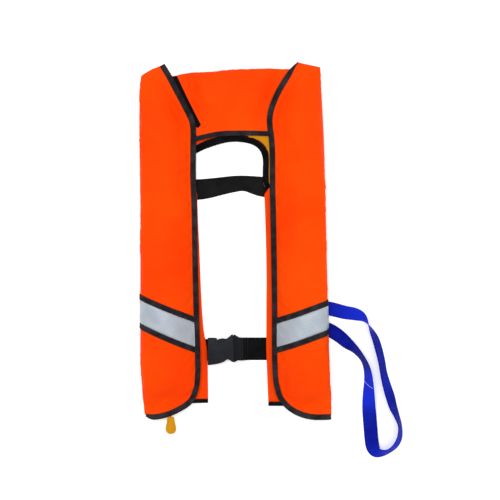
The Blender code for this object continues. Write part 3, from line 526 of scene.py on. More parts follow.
def looped_pile(name, colour):
    """Hook or loop fastening: a dense short pile."""
    shade = Shade(name, colour, 0.9, 0.15)
    place = shade.place()
    cells = shade.node("ShaderNodeTexVoronoi", {"Vector": place, "Scale": 1100.0}).outputs[0]
    pale = tuple(c * 2.2 + 0.01 for c in colour)
    return shade.use(Base_Color=shade.mix(shade.ranged(cells, 0.9, 0.0, 0.0, 0.6), colour, pale),
                     Normal=shade.bump(cells, 0.3 * MM, 0.9))


def braid(name, dark, light):
    """Braided cord: strands that cross in diamonds."""
    shade = Shade(name, dark, 0.7, 0.25)
    x, y, z = shade.split(shade.place())
    around = shade.plus(x, z)
    height = shade.times(*(shade.ribs(shade.math(way, y, around), CORD_RADIUS)
                           for way in ("ADD", "SUBTRACT")))
    # Painted highlight and shade: the strands' crowns lighter, the grooves between them darker
    return shade.use(Base_Color=shade.mix(height, dark, light),
                     Normal=shade.bump(height, 0.2 * MM, 0.8))


ORANGE = coated_fabric("orange_fabric", (1.0, 0.050, 0.0004), (1.0, 0.076, 0.0010))
# Painted shade: these yellows are set darker than the fabric's own colour, for the shade it lies
# in where it shows at the neckline
YELLOW = coated_fabric("yellow_coated_fabric", (0.52, 0.20, 0.006), (0.66, 0.28, 0.012),
                       0.4 * MM, 0.42, 1.2)
TAPE = ribbed_tape("black_tape", (0.0115, 0.0105, 0.012), (0.052, 0.048, 0.052))
WEB = webbing("black_webbing", (0.0040, 0.0040, 0.0045), (0.019, 0.019, 0.021))
BELT = webbing("black_belt_webbing", (0.0022, 0.0022, 0.0026), (0.011, 0.011, 0.0125),
               "Object", "x")
# Painted highlight and shade: the yarn is brighter where the twisting strap faces the lamps,
# darker on edge
BLUE = webbing("blue_webbing", (0.0012, 0.0014, 0.150), (0.007, 0.020, 0.46), rib=2.2 * MM,
               roughness=0.5, length=0.640,
               painted_light_tones=[(0.0, 0.45), (0.05, 0.42), (0.11, 0.95), (0.15, 1.0), (0.175, 0.04),
                      (0.27, 0.06), (0.33, 0.30), (0.38, 0.06), (0.46, 0.12), (0.50, 0.50),
                      (0.555, 0.50), (0.60, 0.12), (0.68, 0.15), (0.715, 0.85), (0.79, 0.8),
                      (0.82, 0.04), (1.0, 0.05)])
SILVER = reflective("reflective_silver")
BLACK_THREAD = thread("black_thread", (0.035, 0.033, 0.036))
ORANGE_THREAD = thread("orange_thread", (0.80, 0.05, 0.003))
PALE_THREAD = thread("pale_blue_thread", (0.42, 0.55, 0.95))
GREY_THREAD = thread("grey_thread", (0.22, 0.21, 0.20))
DARK_THREAD = thread("dark_grey_thread", (0.024, 0.024, 0.027))
DEEP_TAPE = ribbed_tape("deep_black_tape", (0.0022, 0.0020, 0.0024), (0.012, 0.011, 0.013))
BLACK_PLASTIC = moulded("black_plastic", (0.0105, 0.0115, 0.0155), 0.42, (0.021, 0.022, 0.027),
                        shine=0.10)
DEEP_PLASTIC = moulded("deep_black_plastic", (0.005, 0.005, 0.0065), 0.45, (0.012, 0.012, 0.014),
                       shine=0.08)
YELLOW_PLASTIC = moulded("yellow_plastic", (0.58, 0.255, 0.0004), 0.45, (0.68, 0.34, 0.002),
                         shine=0.08)
ORANGE_PLASTIC = moulded("orange_plastic", (0.95, 0.10, 0.006), 0.36)
GREEN_PLASTIC = moulded("green_plastic", (0.02, 0.36, 0.05), 0.36)
STEEL = plated("plated_steel", (0.62, 0.62, 0.61))
BRASS = plated("brass", (0.70, 0.48, 0.18))
DEEP_FLAT = webbing("black_tape_end", (0.0022, 0.0020, 0.0024), (0.011, 0.010, 0.012), "Object",
                    "y", 0.95 * MM, 0.78)
WEB_FLAT = webbing("black_elastic", (0.008, 0.008, 0.009), (0.03, 0.03, 0.034), "Object", "x",
                   0.8 * MM)
PILE = looped_pile("hook_and_loop", (0.012, 0.011, 0.012))
BRAID = braid("black_braid", (0.010, 0.010, 0.011), (0.05, 0.05, 0.055))


def dress(piece, material, slot, body, replaces=()):
    """Give a piece its finish and let it ride on its body."""
    piece.data.materials.clear()
    piece.data.materials.append(material)
    if replaces:
        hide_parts(*replaces)
    if body:
        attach(piece, body)
    return piece


def recolour(material, slot, *nodes):
    """Give CAD nodes that are shown as they are their real material."""
    for node in nodes:
        dress(NODES[node], material, slot, None)
        soften_edges(NODES[node], 0.35 * MM, 2, 40)


# ---------------------------------------------------------------- cords

BLUE_ROUTE = [  # x and y in millimetres, lean in degrees: 0 lies flat, 90 stands on edge
    (154.0, -119.5, 0), (168.0, -121.5, 0), (176.0, -123.0, 0), (198.0, -128.6, 13),
    (215.0, -131.4, 24), (227.0, -136.0, 45), (236.5, -145.0, 80), (244.8, -160.0, 108),
    (253.0, -176.5, 122), (259.0, -196.0, 125), (264.0, -217.0, 124),
    (267.6, -238.0, 124), (273.0, -259.0, 130), (279.8, -281.0, 134),
    (284.6, -298.0, 128), (291.0, -314.0, 116), (296.4, -330.0, 110),
    (297.2, -345.0, 114), (294.8, -357.5, 119), (288.0, -369.0, 118),
    (276.0, -378.2, 116), (263.0, -381.8, 128), (253.6, -379.6, 146),
    (248.2, -370.5, 163), (246.2, -356.0, 175), (244.9, -340.0, 177),
    (243.2, -320.0, 174), (241.4, -298.0, 158), (240.8, -276.0, 142),
    (240.6, -254.0, 126), (238.4, -233.0, 116), (231.6, -214.6, 110),
    (218.0, -197.0, 120), (202.0, -183.6, 146), (189.0, -172.2, 160),
    (177.0, -164.0, 170), (168.0, -159.6, 174), (154.0, -154.6, 180)]
SEAM_PLACE = (0.2406, -0.258)  # of the stitches that close the loop


def strap_frames(route, steps):
    """Each point of a strap's route, with the directions along, across and off its face."""
    path = smooth_path(route, steps)
    lean = np.radians(path[:, 2])
    height = (STRAP_WIDTH - WEBBING) / 2 * np.abs(np.sin(lean)) + WEBBING / 2 + 0.05 * MM
    middle = np.column_stack([path[:, :2] * MM, height])
    frames = []
    for row in range(len(middle)):
        ahead = middle[min(row + 1, len(middle) - 1)] - middle[max(row - 1, 0)]
        along = np.array([ahead[0], ahead[1], 0.0]) / np.hypot(ahead[0], ahead[1])
        flat = np.array([-along[1], along[0], 0.0])
        across = flat * math.cos(lean[row]) + np.array([0.0, 0.0, math.sin(lean[row])])
        frames.append((middle[row], along, across, np.cross(along, across)))
    return frames


def blue_strap():
    """The loop of blue webbing, with the row of stitches that closes it on its left run."""
    frames = strap_frames(BLUE_ROUTE, 6)
    section = band_section(9, WEBBING)
    half = STRAP_WIDTH / 2
    rings = [[middle + across * share * half + off * tall for share, tall in section]
             for middle, _, across, off in frames]
    strap = swept("blue_strap_webbing", rings, [share * half for share, _ in section])
    dress(strap, BLUE, "blue_webbing", "jacket", ["blue_strap"])
    path = [list(middle) for middle, _, _, _ in frames]
    middle, along, across, off = min(frames, key=lambda f: abs(f[0][0] - SEAM_PLACE[0])
                                     + abs(f[0][1] - SEAM_PLACE[1]))
    facing = off if off[2] > 0 else -off
    # The row slants and bows a little
    row = [middle + facing * (WEBBING / 2 + 0.1 * MM) + across * s * STRAP_WIDTH * 0.48
           - along * (s * 0.007 + (1 - s * s) * 0.002) for s in np.linspace(-1, 1, 9)]
    seam = stitches("blue_strap_stitches", row, [facing] * len(row), 2.2 * MM, 0.95,
                    1.5 * THREAD)
    dress(seam, PALE_THREAD, "blue_webbing", "jacket")
    round(float(lengths_along(path)[-1]), 3)


CORD_ROUTE = [  # share of the way across to the toggle, drop towards the foot, height, in mm
    (0.0, 0.0, 21.0), (0.0, 3.2, 18.2), (0.0, 6.2, 13.8), (0.06, 9.8, 10.2), (0.16, 14.8, 8.6),
    (0.25, 20.5, 7.9), (0.40, 28.5, 5.4), (0.60, 42.0, 4.6), (0.85, 60.0, 4.5)]
TOGGLE_WIDER = ([0.8 * MM, 4.0 * MM, 9.0 * MM], [1.75, 1.22, 1.02])  # below its top, how much
TOGGLE_HEAD = 6.0 * MM        # length of the toggle's head, which is raised at its top


def pull_cord():
    """The cord from the inflator's lever down to its handle."""
    low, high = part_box("pull_cord")
    toggle_low, toggle_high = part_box("pull_toggle")
    foot_x, foot_y = (toggle_low.x + toggle_high.x) / 2, toggle_high.y
    ends = (low.x + 1.1 * MM, high.x - 1.1 * MM)
    x = ends[0] if abs(low.x - foot_x) > abs(high.x - foot_x) else ends[1]
    route = [(x + (foot_x - x) * share, high.y - drop * MM, tall * MM)
             for share, drop, tall in CORD_ROUTE]
    path = smooth_path(route + [(foot_x, foot_y - 1.0 * MM, 5.6 * MM)], 4)
    curve = bpy.data.curves.new("pull_cord_braid", "CURVE")
    curve.dimensions = "3D"
    curve.bevel_depth = CORD_RADIUS
    curve.bevel_resolution = 4
    curve.use_fill_caps = True
    spline = curve.splines.new("POLY")
    spline.points.add(len(path) - 1)
    for point, place in zip(spline.points, path):
        point.co = (*place, 1.0)
    cord = link("pull_cord_braid", curve)
    dress(cord, BRAID, "black_webbing", "pull", ["pull_cord"])
    toggle = link("toggle_body", NODES["pull_toggle"].data.copy())
    for vert in toggle.data.vertices:  # its head is blunt where it leaves the cover
        drop = foot_y - vert.co.y
        wider = np.interp(drop, *TOGGLE_WIDER)
        vert.co.x = foot_x + (vert.co.x - foot_x) * wider + 0.5 * MM
        vert.co.y += max(0.0, 1.0 - drop / TOGGLE_HEAD) * 1.5 * MM
    dress(toggle, YELLOW_PLASTIC, "yellow_plastic", "pull", ["pull_toggle"])
    round(float(lengths_along(path)[-1]), 3)


aim_camera()
blue_strap()
pull_cord()


# ---------------------------------------------------------------- fabric shells

class Grid:
    """A four-sided sheet of fabric as rows and columns of points, to lay other things on."""

    def __init__(self, points):
        self.points = np.asarray(points, float)  # rows (v), columns (u), xyz

    def at(self, u, v):
        rows, columns = self.points.shape[:2]
        x, y = min(max(u, 0.0), 1.0) * (columns - 1), min(max(v, 0.0), 1.0) * (rows - 1)
        i, j = min(int(x), columns - 2), min(int(y), rows - 2)
        s, t = x - i, y - j
        p = self.points
        return ((p[j, i] * (1 - s) + p[j, i + 1] * s) * (1 - t)
                + (p[j + 1, i] * (1 - s) + p[j + 1, i + 1] * s) * t)

    def normal(self, u, v):
        step = 0.006
        across = self.at(min(u + step, 1), v) - self.at(max(u - step, 0), v)
        along = self.at(u, min(v + step, 1)) - self.at(u, max(v - step, 0))
        found = np.cross(across, along)
        return found / max(np.linalg.norm(found), 1e-12)

    def refined(self):
        """Twice as many rows and columns, on smooth curves through the points."""
        rows = np.stack([smooth_path(row, 2) for row in self.points])
        return Grid(np.stack([smooth_path(rows[:, k], 2) for k in range(rows.shape[1])], axis=1))

    def faces(self):
        rows, columns = self.points.shape[:2]
        return [[r * columns + c, r * columns + c + 1, (r + 1) * columns + c + 1,
                 (r + 1) * columns + c] for r in range(rows - 1) for c in range(columns - 1)]


def settled(piece, frames, **values):
    """Where a piece's points come to lie as cloth under pressure, without gravity."""
    cloth = piece.modifiers.new("cloth", "CLOTH")
    for key, value in values.items():
        setattr(cloth.settings, key, value)
    cloth.settings.compression_stiffness = cloth.settings.tension_stiffness
    cloth.settings.use_pressure = True
    cloth.settings.effector_weights.gravity = 0.0
    cloth.collision_settings.use_collision = False
    for step in range(1, frames + 1):
        bpy.context.scene.frame_set(step)
    apply_modifiers(piece)
    bpy.context.scene.frame_set(1)
    return np.array([v.co for v in piece.data.vertices])


def limited(start, moved, cap):
    """The moved points, each held to less than cap from where it started."""
    shift = moved - start
    size = np.linalg.norm(shift, axis=1)[:, None]
    return start + shift / np.maximum(size, 1e-12) * cap * np.tanh(size / cap)


def relax(grid, pinned, cap=4.0 * MM):
    """Let the fabric settle as cloth: its pinned points stay, and the rest moves at most cap."""
    start = grid.points.reshape(-1, 3)
    piece = mesh_piece("cloth_in_the_making", start, grid.faces())
    group = piece.vertex_groups.new(name="pinned")
    group.add([int(k) for k in np.flatnonzero(pinned.reshape(-1))], 1.0, "REPLACE")
    moved = settled(piece, 20, quality=5, mass=0.15, tension_stiffness=25.0, shear_stiffness=8.0,
                    bending_stiffness=1.2, vertex_group_mass="pinned", shrink_min=-0.012,
                    uniform_pressure_force=0.35)
    bpy.data.objects.remove(piece, do_unlink=True)
    return Grid(limited(start, moved, cap).reshape(grid.points.shape))


def side_between(loop, first, last):
    """The part of a closed loop from the point nearest first to the point nearest last."""
    a = int(np.argmin(np.linalg.norm(loop[:, :2] - first, axis=1)))
    b = int(np.argmin(np.linalg.norm(loop[:, :2] - last, axis=1)))
    around = np.roll(loop, -a, axis=0)
    forward = around[:(b - a) % len(loop) + 1]
    backward = np.vstack([around[(b - a) % len(loop):], around[:1]])[::-1]
    one, other = lengths_along(forward)[-1], lengths_along(backward)[-1]
    return forward if one < other else backward


def coons(left, right, foot, head, rows, columns):
    """Points in plan between four side paths, rows running along left and right."""
    left, right = resample(left, rows), resample(right, rows)
    foot, head = resample(foot, columns), resample(head, columns)
    u, v = np.linspace(0, 1, columns)[None, :, None], np.linspace(0, 1, rows)[:, None, None]
    sides = left[:, None] * (1 - u) + right[:, None] * u
    ends = foot[None] * (1 - v) + head[None] * v
    corners = ((foot[0] * (1 - u) + foot[-1] * u) * (1 - v)
               + (head[0] * (1 - u) + head[-1] * u) * v)
    return sides + ends - corners


def thickened(name, grid):
    """The sheet as a closed mesh, with its thickness below its face."""
    piece = mesh_piece(name, grid.points.reshape(-1, 3), grid.faces())
    solidify(piece, SHEET_THICK)
    apply_modifiers(piece)
    piece.data.shade_smooth()
    return piece


CROSS_SECTION = [  # share across the lobe from its outer side, height above the floor in mm
    (0.050, 3.3), (0.018, 6.4), (0.003, 10.5), (0.000, 15.0), (0.004, 20.0), (0.018, 25.5),
    (0.045, 30.5), (0.085, 34.6), (0.14, 37.6), (0.21, 39.4), (0.29, 40.3), (0.38, 40.3),
    (0.46, 39.2), (0.54, 36.8), (0.62, 32.6), (0.69, 27.4), (0.75, 22.2), (0.81, 17.0),
    (0.86, 12.9), (0.90, 10.4), (0.935, 9.5), (0.968, 9.4), (1.0, 9.4)]
RISING_COLUMNS = 4            # these climb the outer side, from the floor to the edges' height
PINNED_COLUMNS = 4            # at the binding, which keeps a crisp edge
LOWER_EDGE = 0.115            # length of a binding past its lower corner, in metres
LOBE_ENDS = ((0.011, 0.11), (0.84, 1.0))  # shares of its length where a lobe rises and sinks
SHOULDER = 3.4 * MM           # height of a lobe's head, folded down over the shoulder
# How far a lobe's outer side stands out from its straight fold: (y, distance) in mm
OUTER_SHIFT = {"left": [(-312, 0.4), (-234, -1.6), (-150, -2.4), (60, -2.8), (190, -0.8),
                        (297, 0.0)],
               "right": [(-312, 0.0), (-178, -0.4), (-70, 0.4), (92, 2.0), (184, 2.6), (314, 0.0)]}
BINDING_EXTRA = 1.3 * MM      # how far the tape reaches further over the cover


def binding_sides(side):
    """The free side of a front cover's binding and the side on the cover, from its tip down."""
    outer, inner = long_sides("cover_binding_" + side)
    if outer[0, 1] < outer[-1, 1]:
        outer, inner = outer[::-1], inner[::-1]
    low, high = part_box("front_cover_" + side)
    centre = (low.x + high.x) / 2
    if abs(outer[:, 0].mean() - centre) < abs(inner[:, 0].mean() - centre):
        outer, inner = inner, outer
    count = max(len(outer), len(inner))
    outer, inner = resample(outer, 2 * count), resample(inner, 2 * count)
    across = (inner - outer) / np.linalg.norm(inner - outer, axis=1)[:, None]
    inner += across * BINDING_EXTRA
    if side == "left":  # the lower end is rounded off
        back = lengths_along(outer)[-1] - lengths_along(outer)
        outer[:, 1] += 5.5 * MM * np.clip(1.0 - back / (9.0 * MM), 0.0, 1.0) ** 1.6
    else:  # the upper end narrows to a point, where the top edge meets it
        run = lengths_along(inner)
        narrow = 0.94 * np.clip(1.0 - run / (26.0 * MM), 0.0, 1.0)[:, None] ** 1.2
        inner = inner * (1 - narrow) + outer * narrow
    return outer, inner


def lobe(side):
    """A front cover: from the back panel round its outer side, over the lobe to its binding."""
    name = "front_cover_" + side
    outer, inner = (resample(path, 200) for path in binding_sides(side))
    mouth = (outer + inner) / 2
    outline = upper_outline(name)
    sign = -1.0 if side == "left" else 1.0
    tip = outline[int(np.argmin(np.linalg.norm(outline[:, :2] - mouth[0, :2], axis=1)))]
    fold_top = outline[int(np.argmax(outline[:, 1] + 1.5 * sign * outline[:, 0]))]
    fold_foot = outline[int(np.argmin(outline[:, 1] - 1.5 * sign * outline[:, 0]))]
    fold = side_between(outline, fold_top[:2], fold_foot[:2])
    head = side_between(outline, fold_top[:2], tip[:2])
    # The foot of the lobe starts where the binding turns the corner
    run = lengths_along(mouth)
    turn = int(np.argmin(np.abs(run - (run[-1] - LOWER_EDGE))))
    right = np.vstack([outer[:1, :2], mouth[4:turn + 1, :2]])
    shift = np.array(OUTER_SHIFT[side]) * MM
    fold[:, 0] += sign * np.interp(fold[:, 1], shift[:, 0], shift[:, 1])
    foot = np.vstack([fold[-1:, :2], mouth[turn:, :2][::-1]])
    middle = head[1:-1, :2] + (0.0, 1.5 * MM) if side == "left" else np.zeros((0, 2))
    head = np.vstack([fold[:1, :2], middle, outer[:1, :2]])
    rows, columns = 121, len(CROSS_SECTION)
    plan = coons(fold[::-1, :2], right[::-1], foot, head, rows, columns)
    shares, heights = np.array(CROSS_SECTION).T
    heights = heights * MM
    at = np.linspace(0, 1, columns)
    points = np.zeros((rows, columns, 3))
    for row in range(rows):
        v = row / (rows - 1)
        line = plan[row]
        rise = smooth_step(*LOBE_ENDS[0], v) * (1 - smooth_step(*LOBE_ENDS[1], v))
        fold_down = smooth_step(0.985, 1.0, v)
        for column in range(columns):
            share, top = shares[column], heights[column]
            rising = column < RISING_COLUMNS
            base = min(top, EDGE_LEVEL) if rising else EDGE_LEVEL
            z = base + (top - base) * rise
            # The head of the lobe folds down over the shoulder to the back panel
            z -= (z - SHOULDER) * fold_down * (1 if rising else 1 - 0.8 * share ** 6)
            points[row, column] = (*between(line, at, share), z)
    pinned = np.zeros((rows, columns), bool)
    pinned[[0, 1, 2, -1, -2]] = pinned[:, [0, 1, 2]] = pinned[:, -PINNED_COLUMNS:] = True
    if side == "right":  # so that u always runs from left to right
        points, pinned = points[:, ::-1], pinned[:, ::-1]
    return relax(Grid(points), pinned)


def fold_with(side, *pieces):
    """Bake each piece's place into its mesh."""
    for piece in pieces:
        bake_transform(piece)


def row_on_line(grid, u, start, end):
    """Where a column of the grid crosses a straight line in plan."""
    low, high = 0.0, 1.0
    for _ in range(22):
        middle = (low + high) / 2
        place = grid.at(u, middle)
        line_y = start[1] + (end[1] - start[1]) * (place[0] - start[0]) / (end[0] - start[0])
        low, high = (middle, high) if place[1] < line_y else (low, middle)
    return low


def laid_strip(name, grid, reach, lower, upper, lift):
    """A strip of tape laid on a grid between two lines of v, given for each u."""
    columns, rows, thick, thin_edge = 170, 9, 0.8 * MM, 0.35
    shares = list(np.linspace(0, 1, rows))
    section = [(share, 0.0) for share in shares]
    section += [(share, thick * (thin_edge if share in (0.0, 1.0) else 1.0))
                for share in shares[::-1]]
    rings = []
    for u in np.linspace(*reach, columns):
        ring = []
        for share, tall in section:
            v = lower(u) + (upper(u) - lower(u)) * share
            ring.append(grid.at(u, v) + grid.normal(u, v) * (lift + tall))
        rings.append(ring)
    middle = rings[columns // 2]
    wide = float(np.linalg.norm(middle[rows - 1] - middle[0]))
    return swept(name, rings, [wide * share for share, _ in section])


TAPE_SHIFT = {  # how far each edging's left and right end lies above its CAD node, in mm
    "left_upper": (2.2, 0.0), "left_lower": (2.4, -2.0),
    "right_upper": (-1.4, 4.4), "right_lower": (-2.4, 3.6)}
TAPE_REACH = {"left": (0.05, 0.985), "right": (0.015, 0.95)}  # from one u of the lobe to another


def reflective_tape(side, grid):
    """Silver tape with black edging, sewn on across the lobe."""
    reach = TAPE_REACH[side]
    lines = {}
    for key in ("lower", "upper"):
        low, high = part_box(f"tape_edging_{key}_{side}")
        start, end = (shift * MM for shift in TAPE_SHIFT[side + "_" + key])
        climb = high.y - low.y - EDGING
        if side == "right":
            end += climb
        else:
            start += climb
        lines[key] = ((low.x, low.y + start), (high.x, low.y + end))

    def line(key, extra):
        """v for each u along an edging's lower side, moved up by extra."""
        start, end = ((x, y + extra) for x, y in lines[key])
        return functools.cache(lambda u: row_on_line(grid, u, start, end))

    pieces = []
    for name, node, lower, upper, material, slot, lift in (
            ("silver_tape_", "reflective_tape_", ("lower", EDGING - 1.5 * MM),
             ("upper", 1.5 * MM), SILVER, "reflective_silver", 0.2 * MM),
            ("lower_edging_", "tape_edging_lower_", ("lower", 0.0),
             ("lower", EDGING - 0.3 * MM), TAPE, "black_tape", 0.4 * MM),
            ("upper_edging_", "tape_edging_upper_", ("upper", 0.0),
             ("upper", EDGING - 0.3 * MM), TAPE, "black_tape", 0.4 * MM)):
        piece = laid_strip(name + side, grid, reach, line(*lower), line(*upper), lift)
        pieces.append(dress(piece, material, slot, None, [node + side]))
    for key in ("lower", "upper"):
        for extra in (1.6 * MM, EDGING - 1.9 * MM):
            crossing = line(key, extra)
            places = [(u, crossing(u)) for u in np.linspace(*reach, 60)]
            normals = [grid.normal(*place) for place in places]
            path = [grid.at(*place) + n * 1.25 * MM for place, n in zip(places, normals)]
            row = stitches(f"{key}_edging_stitches_{len(pieces)}_{side}", path, normals)
            pieces.append(dress(row, BLACK_THREAD, "black_tape", None))
    return pieces


def edge_binding(name, node, sides, level, body, seed, bulge=0.25 * MM, material=TAPE):
    """Tape folded over an edge: sides are its outer and inner side."""
    piece = band(name, *sides, level, TAPE_THICK, 3.0 * MM, bulge, 0.5 * MM, seed)
    return dress(piece, material, "black_tape", body, [node])


def widened(outer, inner, extra):
    """The band's two sides, the inner one moved further in. extra is ([x], [distance])."""
    count = max(len(outer), len(inner))
    outer, inner = resample(outer, count), resample(inner, count)
    across = inner - outer
    extra = np.interp(outer[:, 0], *extra)[:, None]
    return outer, inner + across / np.linalg.norm(across, axis=1)[:, None] * extra


def binding_stitches(name, sides, level, body):
    """Stitches on a binding, a little in from its inner side."""
    outer, inner = sides
    count = max(int(lengths_along(inner)[-1] / (3.0 * MM)), 2) + 1
    near, far = (resample(rounded_corners(side), count) for side in (inner, outer))
    path = near + (far - near) / np.linalg.norm(far - near, axis=1)[:, None] * 1.7 * MM
    path[:, 2] = [level(p) if callable(level) else level for p in path]
    path[:, 2] += TAPE_THICK / 2 + 0.08 * MM
    return dress(stitches(name, path), BLACK_THREAD, "black_tape", body)


for side, seed in (("left", 3), ("right", 8)):
    body = "cover_" + side
    fine = lobe(side).refined()
    cover = thickened("cover_fabric_" + side, fine)
    dress(cover, ORANGE, "orange_fabric", None, ["front_cover_" + side])
    fold_with(side, cover, *reflective_tape(side, fine))
    sides = binding_sides(side)
    edge_binding("edge_binding_" + side, "cover_binding_" + side, sides, EDGE_LEVEL, body, seed)
    binding_stitches("edge_binding_stitches_" + side, sides, EDGE_LEVEL, body)


COLLAR_SECTION = [  # share from the collar's top fold to its binding, height in mm
    (0.060, 3.3), (0.022, 6.0), (0.004, 9.5), (0.000, 12.5), (0.008, 16.0), (0.030, 19.4),
    (0.075, 22.4), (0.14, 24.4), (0.22, 25.4), (0.32, 25.6), (0.42, 24.8), (0.52, 23.0),
    (0.62, 20.4), (0.71, 17.6), (0.80, 14.6), (0.88, 12.0), (0.945, 10.3), (1.0, 9.6)]
HEAD_DROP = ([-112, -98, -65, -41, 4, 60], [0.0, 1.4, 2.4, 2.4, 0.9, 0.0])  # at each x, in mm
HEAD_FROM = 0.285             # the drop is for points past this y


def lowered_head(path):
    """The left half of the top edge hangs a little lower than its CAD node."""
    drop = np.interp(path[:, 0] / MM, *HEAD_DROP) * MM
    path[:, 1] -= np.where(path[:, 1] > HEAD_FROM, drop, 0.0)
    return path


COLLAR_LEFT = [(-72.0, 182.0), (-76.0, 216.0), (-94.0, 256.0), (-110.0, 291.0)]
COLLAR_RIGHT = [(64.0, 189.0), (63.0, 222.0), (68.0, 241.0), (77.0, 264.0), (99.0, 303.0)]


def collar():
    """The collar cover: from the back panel over its top fold, down to its binding."""
    outer, inner = (resample(path, 100) for path in long_sides("collar_binding"))
    foot = (outer + inner)[:, :2] / 2
    if foot[0, 0] > foot[-1, 0]:
        foot = foot[::-1]
    outline = upper_outline("collar_cover")
    low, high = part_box("collar_cover")
    head = lowered_head(side_between(outline, (low.x, high.y - 0.012), (high.x, high.y))[:, :2])
    left = np.vstack([foot[:1], np.array(COLLAR_LEFT[1:-1]) * MM, head[:1] - (0.006, 0.0)])
    right = np.vstack([foot[-1:], np.array(COLLAR_RIGHT[1:-1]) * MM, head[-1:] + (0.008, 0.0)])
    head = np.vstack([left[-1:], head[1:-1], right[-1:]])
    rows, columns, lines = len(COLLAR_SECTION), 61, 60
    plan = coons(left, right, foot, head, lines, columns)
    at = np.linspace(0, 1, lines)
    points = np.zeros((rows, columns, 3))
    for column in range(columns):
        u = column / (columns - 1)
        line = plan[::-1, column]
        side = smooth_step(0.06, 0.26, u) * (1 - smooth_step(0.74, 0.94, u))
        for row, (share, tall) in enumerate(COLLAR_SECTION):
            base = min(tall, COLLAR_FLOOR + (0.7 if share > 0.85 else 0.0))
            z = (base + (tall - base) * (side if share < 0.95 else 1.0)) * MM
            points[rows - 1 - row, column] = (*between(line, at, share), z)
    pinned = np.zeros((rows, columns), bool)
    pinned[[0, 1, 2, 3, -1, -2, -3]] = pinned[:, [0, 1, 2, 3, 4, 5, -1, -2, -3, -4]] = True
    return relax(Grid(points), pinned, cap=3.0 * MM)


grid = collar().refined()
cover = thickened("collar_fabric", grid)
dress(cover, ORANGE, "orange_fabric", None, ["collar_cover"])
fold_with("collar", cover)


def lower_first(node):
    """A band's two sides from left to right, the one nearer the jacket's foot first."""
    outer, inner = (side if side[0, 0] < side[-1, 0] else side[::-1] for side in long_sides(node))
    return (inner, outer) if outer[:, 1].mean() > inner[:, 1].mean() else (outer, inner)


def extended(side, reach):
    """A path carried on straight at both its ends."""
    before, after = side[0] - side[1], side[-1] - side[-2]
    return np.vstack([side[:1] + before / np.linalg.norm(before) * reach, side,
                      side[-1:] + after / np.linalg.norm(after) * reach])


def collar_binding():
    """The collar's lower binding, which dips under the lapels at both ends."""
    outer, inner = lower_first("collar_binding")
    left_end, right_end = outer[0, 0], outer[-1, 0]

    def level(place):
        beyond = max(left_end + 5.0 * MM - place[0], place[0] - right_end + 5.0 * MM)
        return EDGE_LEVEL + 0.1 * MM - 0.6 * MM * smooth_step(0.0, 5.0 * MM, beyond)

    sides = [extended(side, 9.0 * MM) for side in (outer, inner)]
    edge_binding("collar_edge_binding", "collar_binding", sides, level, "collar", 5)
    binding_stitches("collar_binding_stitches", sides, level, "collar")


def above(surface, x, y):
    """The highest point of a surface at a place in plan, or None."""
    return surface.ray_cast(Vector((x, y, 0.1)), -UP)[0]


END_TAPE_CORNER = -0.105      # x: what lies beyond it is always on the side towards the lapel


def collar_end_tape(grid):
    """The cut end of the tape behind the left lapel, laid on the collar."""
    outline = upper_outline("collar_end_binding")
    lapel = binding_sides("left")[0]
    lapel = lapel[np.argsort(lapel[:, 1])]
    for point in outline:  # the side towards the lapel reaches in under its binding
        edge = np.interp(point[1], lapel[:, 1], lapel[:, 0])
        if point[0] < edge + 3.2 * MM or point[0] < END_TAPE_CORNER:
            point[0] = edge - 3.5 * MM
    tape = gridded("collar_end_tape", outline, 2.5 * MM)
    surface = BVHTree.FromPolygons(grid.points.reshape(-1, 3).tolist(), grid.faces())
    for vert in tape.data.vertices:
        found = above(surface, vert.co.x, vert.co.y)
        vert.co.z = max(found.z if found else 0.0, COLLAR_FLOOR * MM) + 0.45 * MM
    solidify(tape, PANEL_THICK, 0.0)
    apply_modifiers(tape)
    dress(tape, DEEP_FLAT, "black_tape", "collar", ["collar_end_binding"])


# ---------------------------------------------------------------- back panel and bladder

def gridded(name, outline, step):
    """A flat piece with the given outline, cut into a grid of small faces."""
    bm = bmesh.new()
    bm.faces.new([bm.verts.new(tuple(p)) for p in outline])
    low, high = outline.min(axis=0), outline.max(axis=0)
    for axis in (0, 1):
        for at in np.arange(low[axis] + step, high[axis], step):
            place, normal = [0.0] * 3, [0.0] * 3
            place[axis], normal[axis] = float(at), 1.0
            whole = bm.verts[:] + bm.edges[:] + bm.faces[:]
            bmesh.ops.bisect_plane(bm, geom=whole, dist=1e-6, plane_co=place, plane_no=normal)
    bmesh.ops.recalc_face_normals(bm, faces=bm.faces)
    if bm.faces[:][0].normal.z < 0:
        bmesh.ops.reverse_faces(bm, faces=bm.faces)
    mesh = bpy.data.meshes.new(name)
    bm.to_mesh(mesh)
    bm.free()
    mesh.shade_smooth()
    return link(name, mesh)


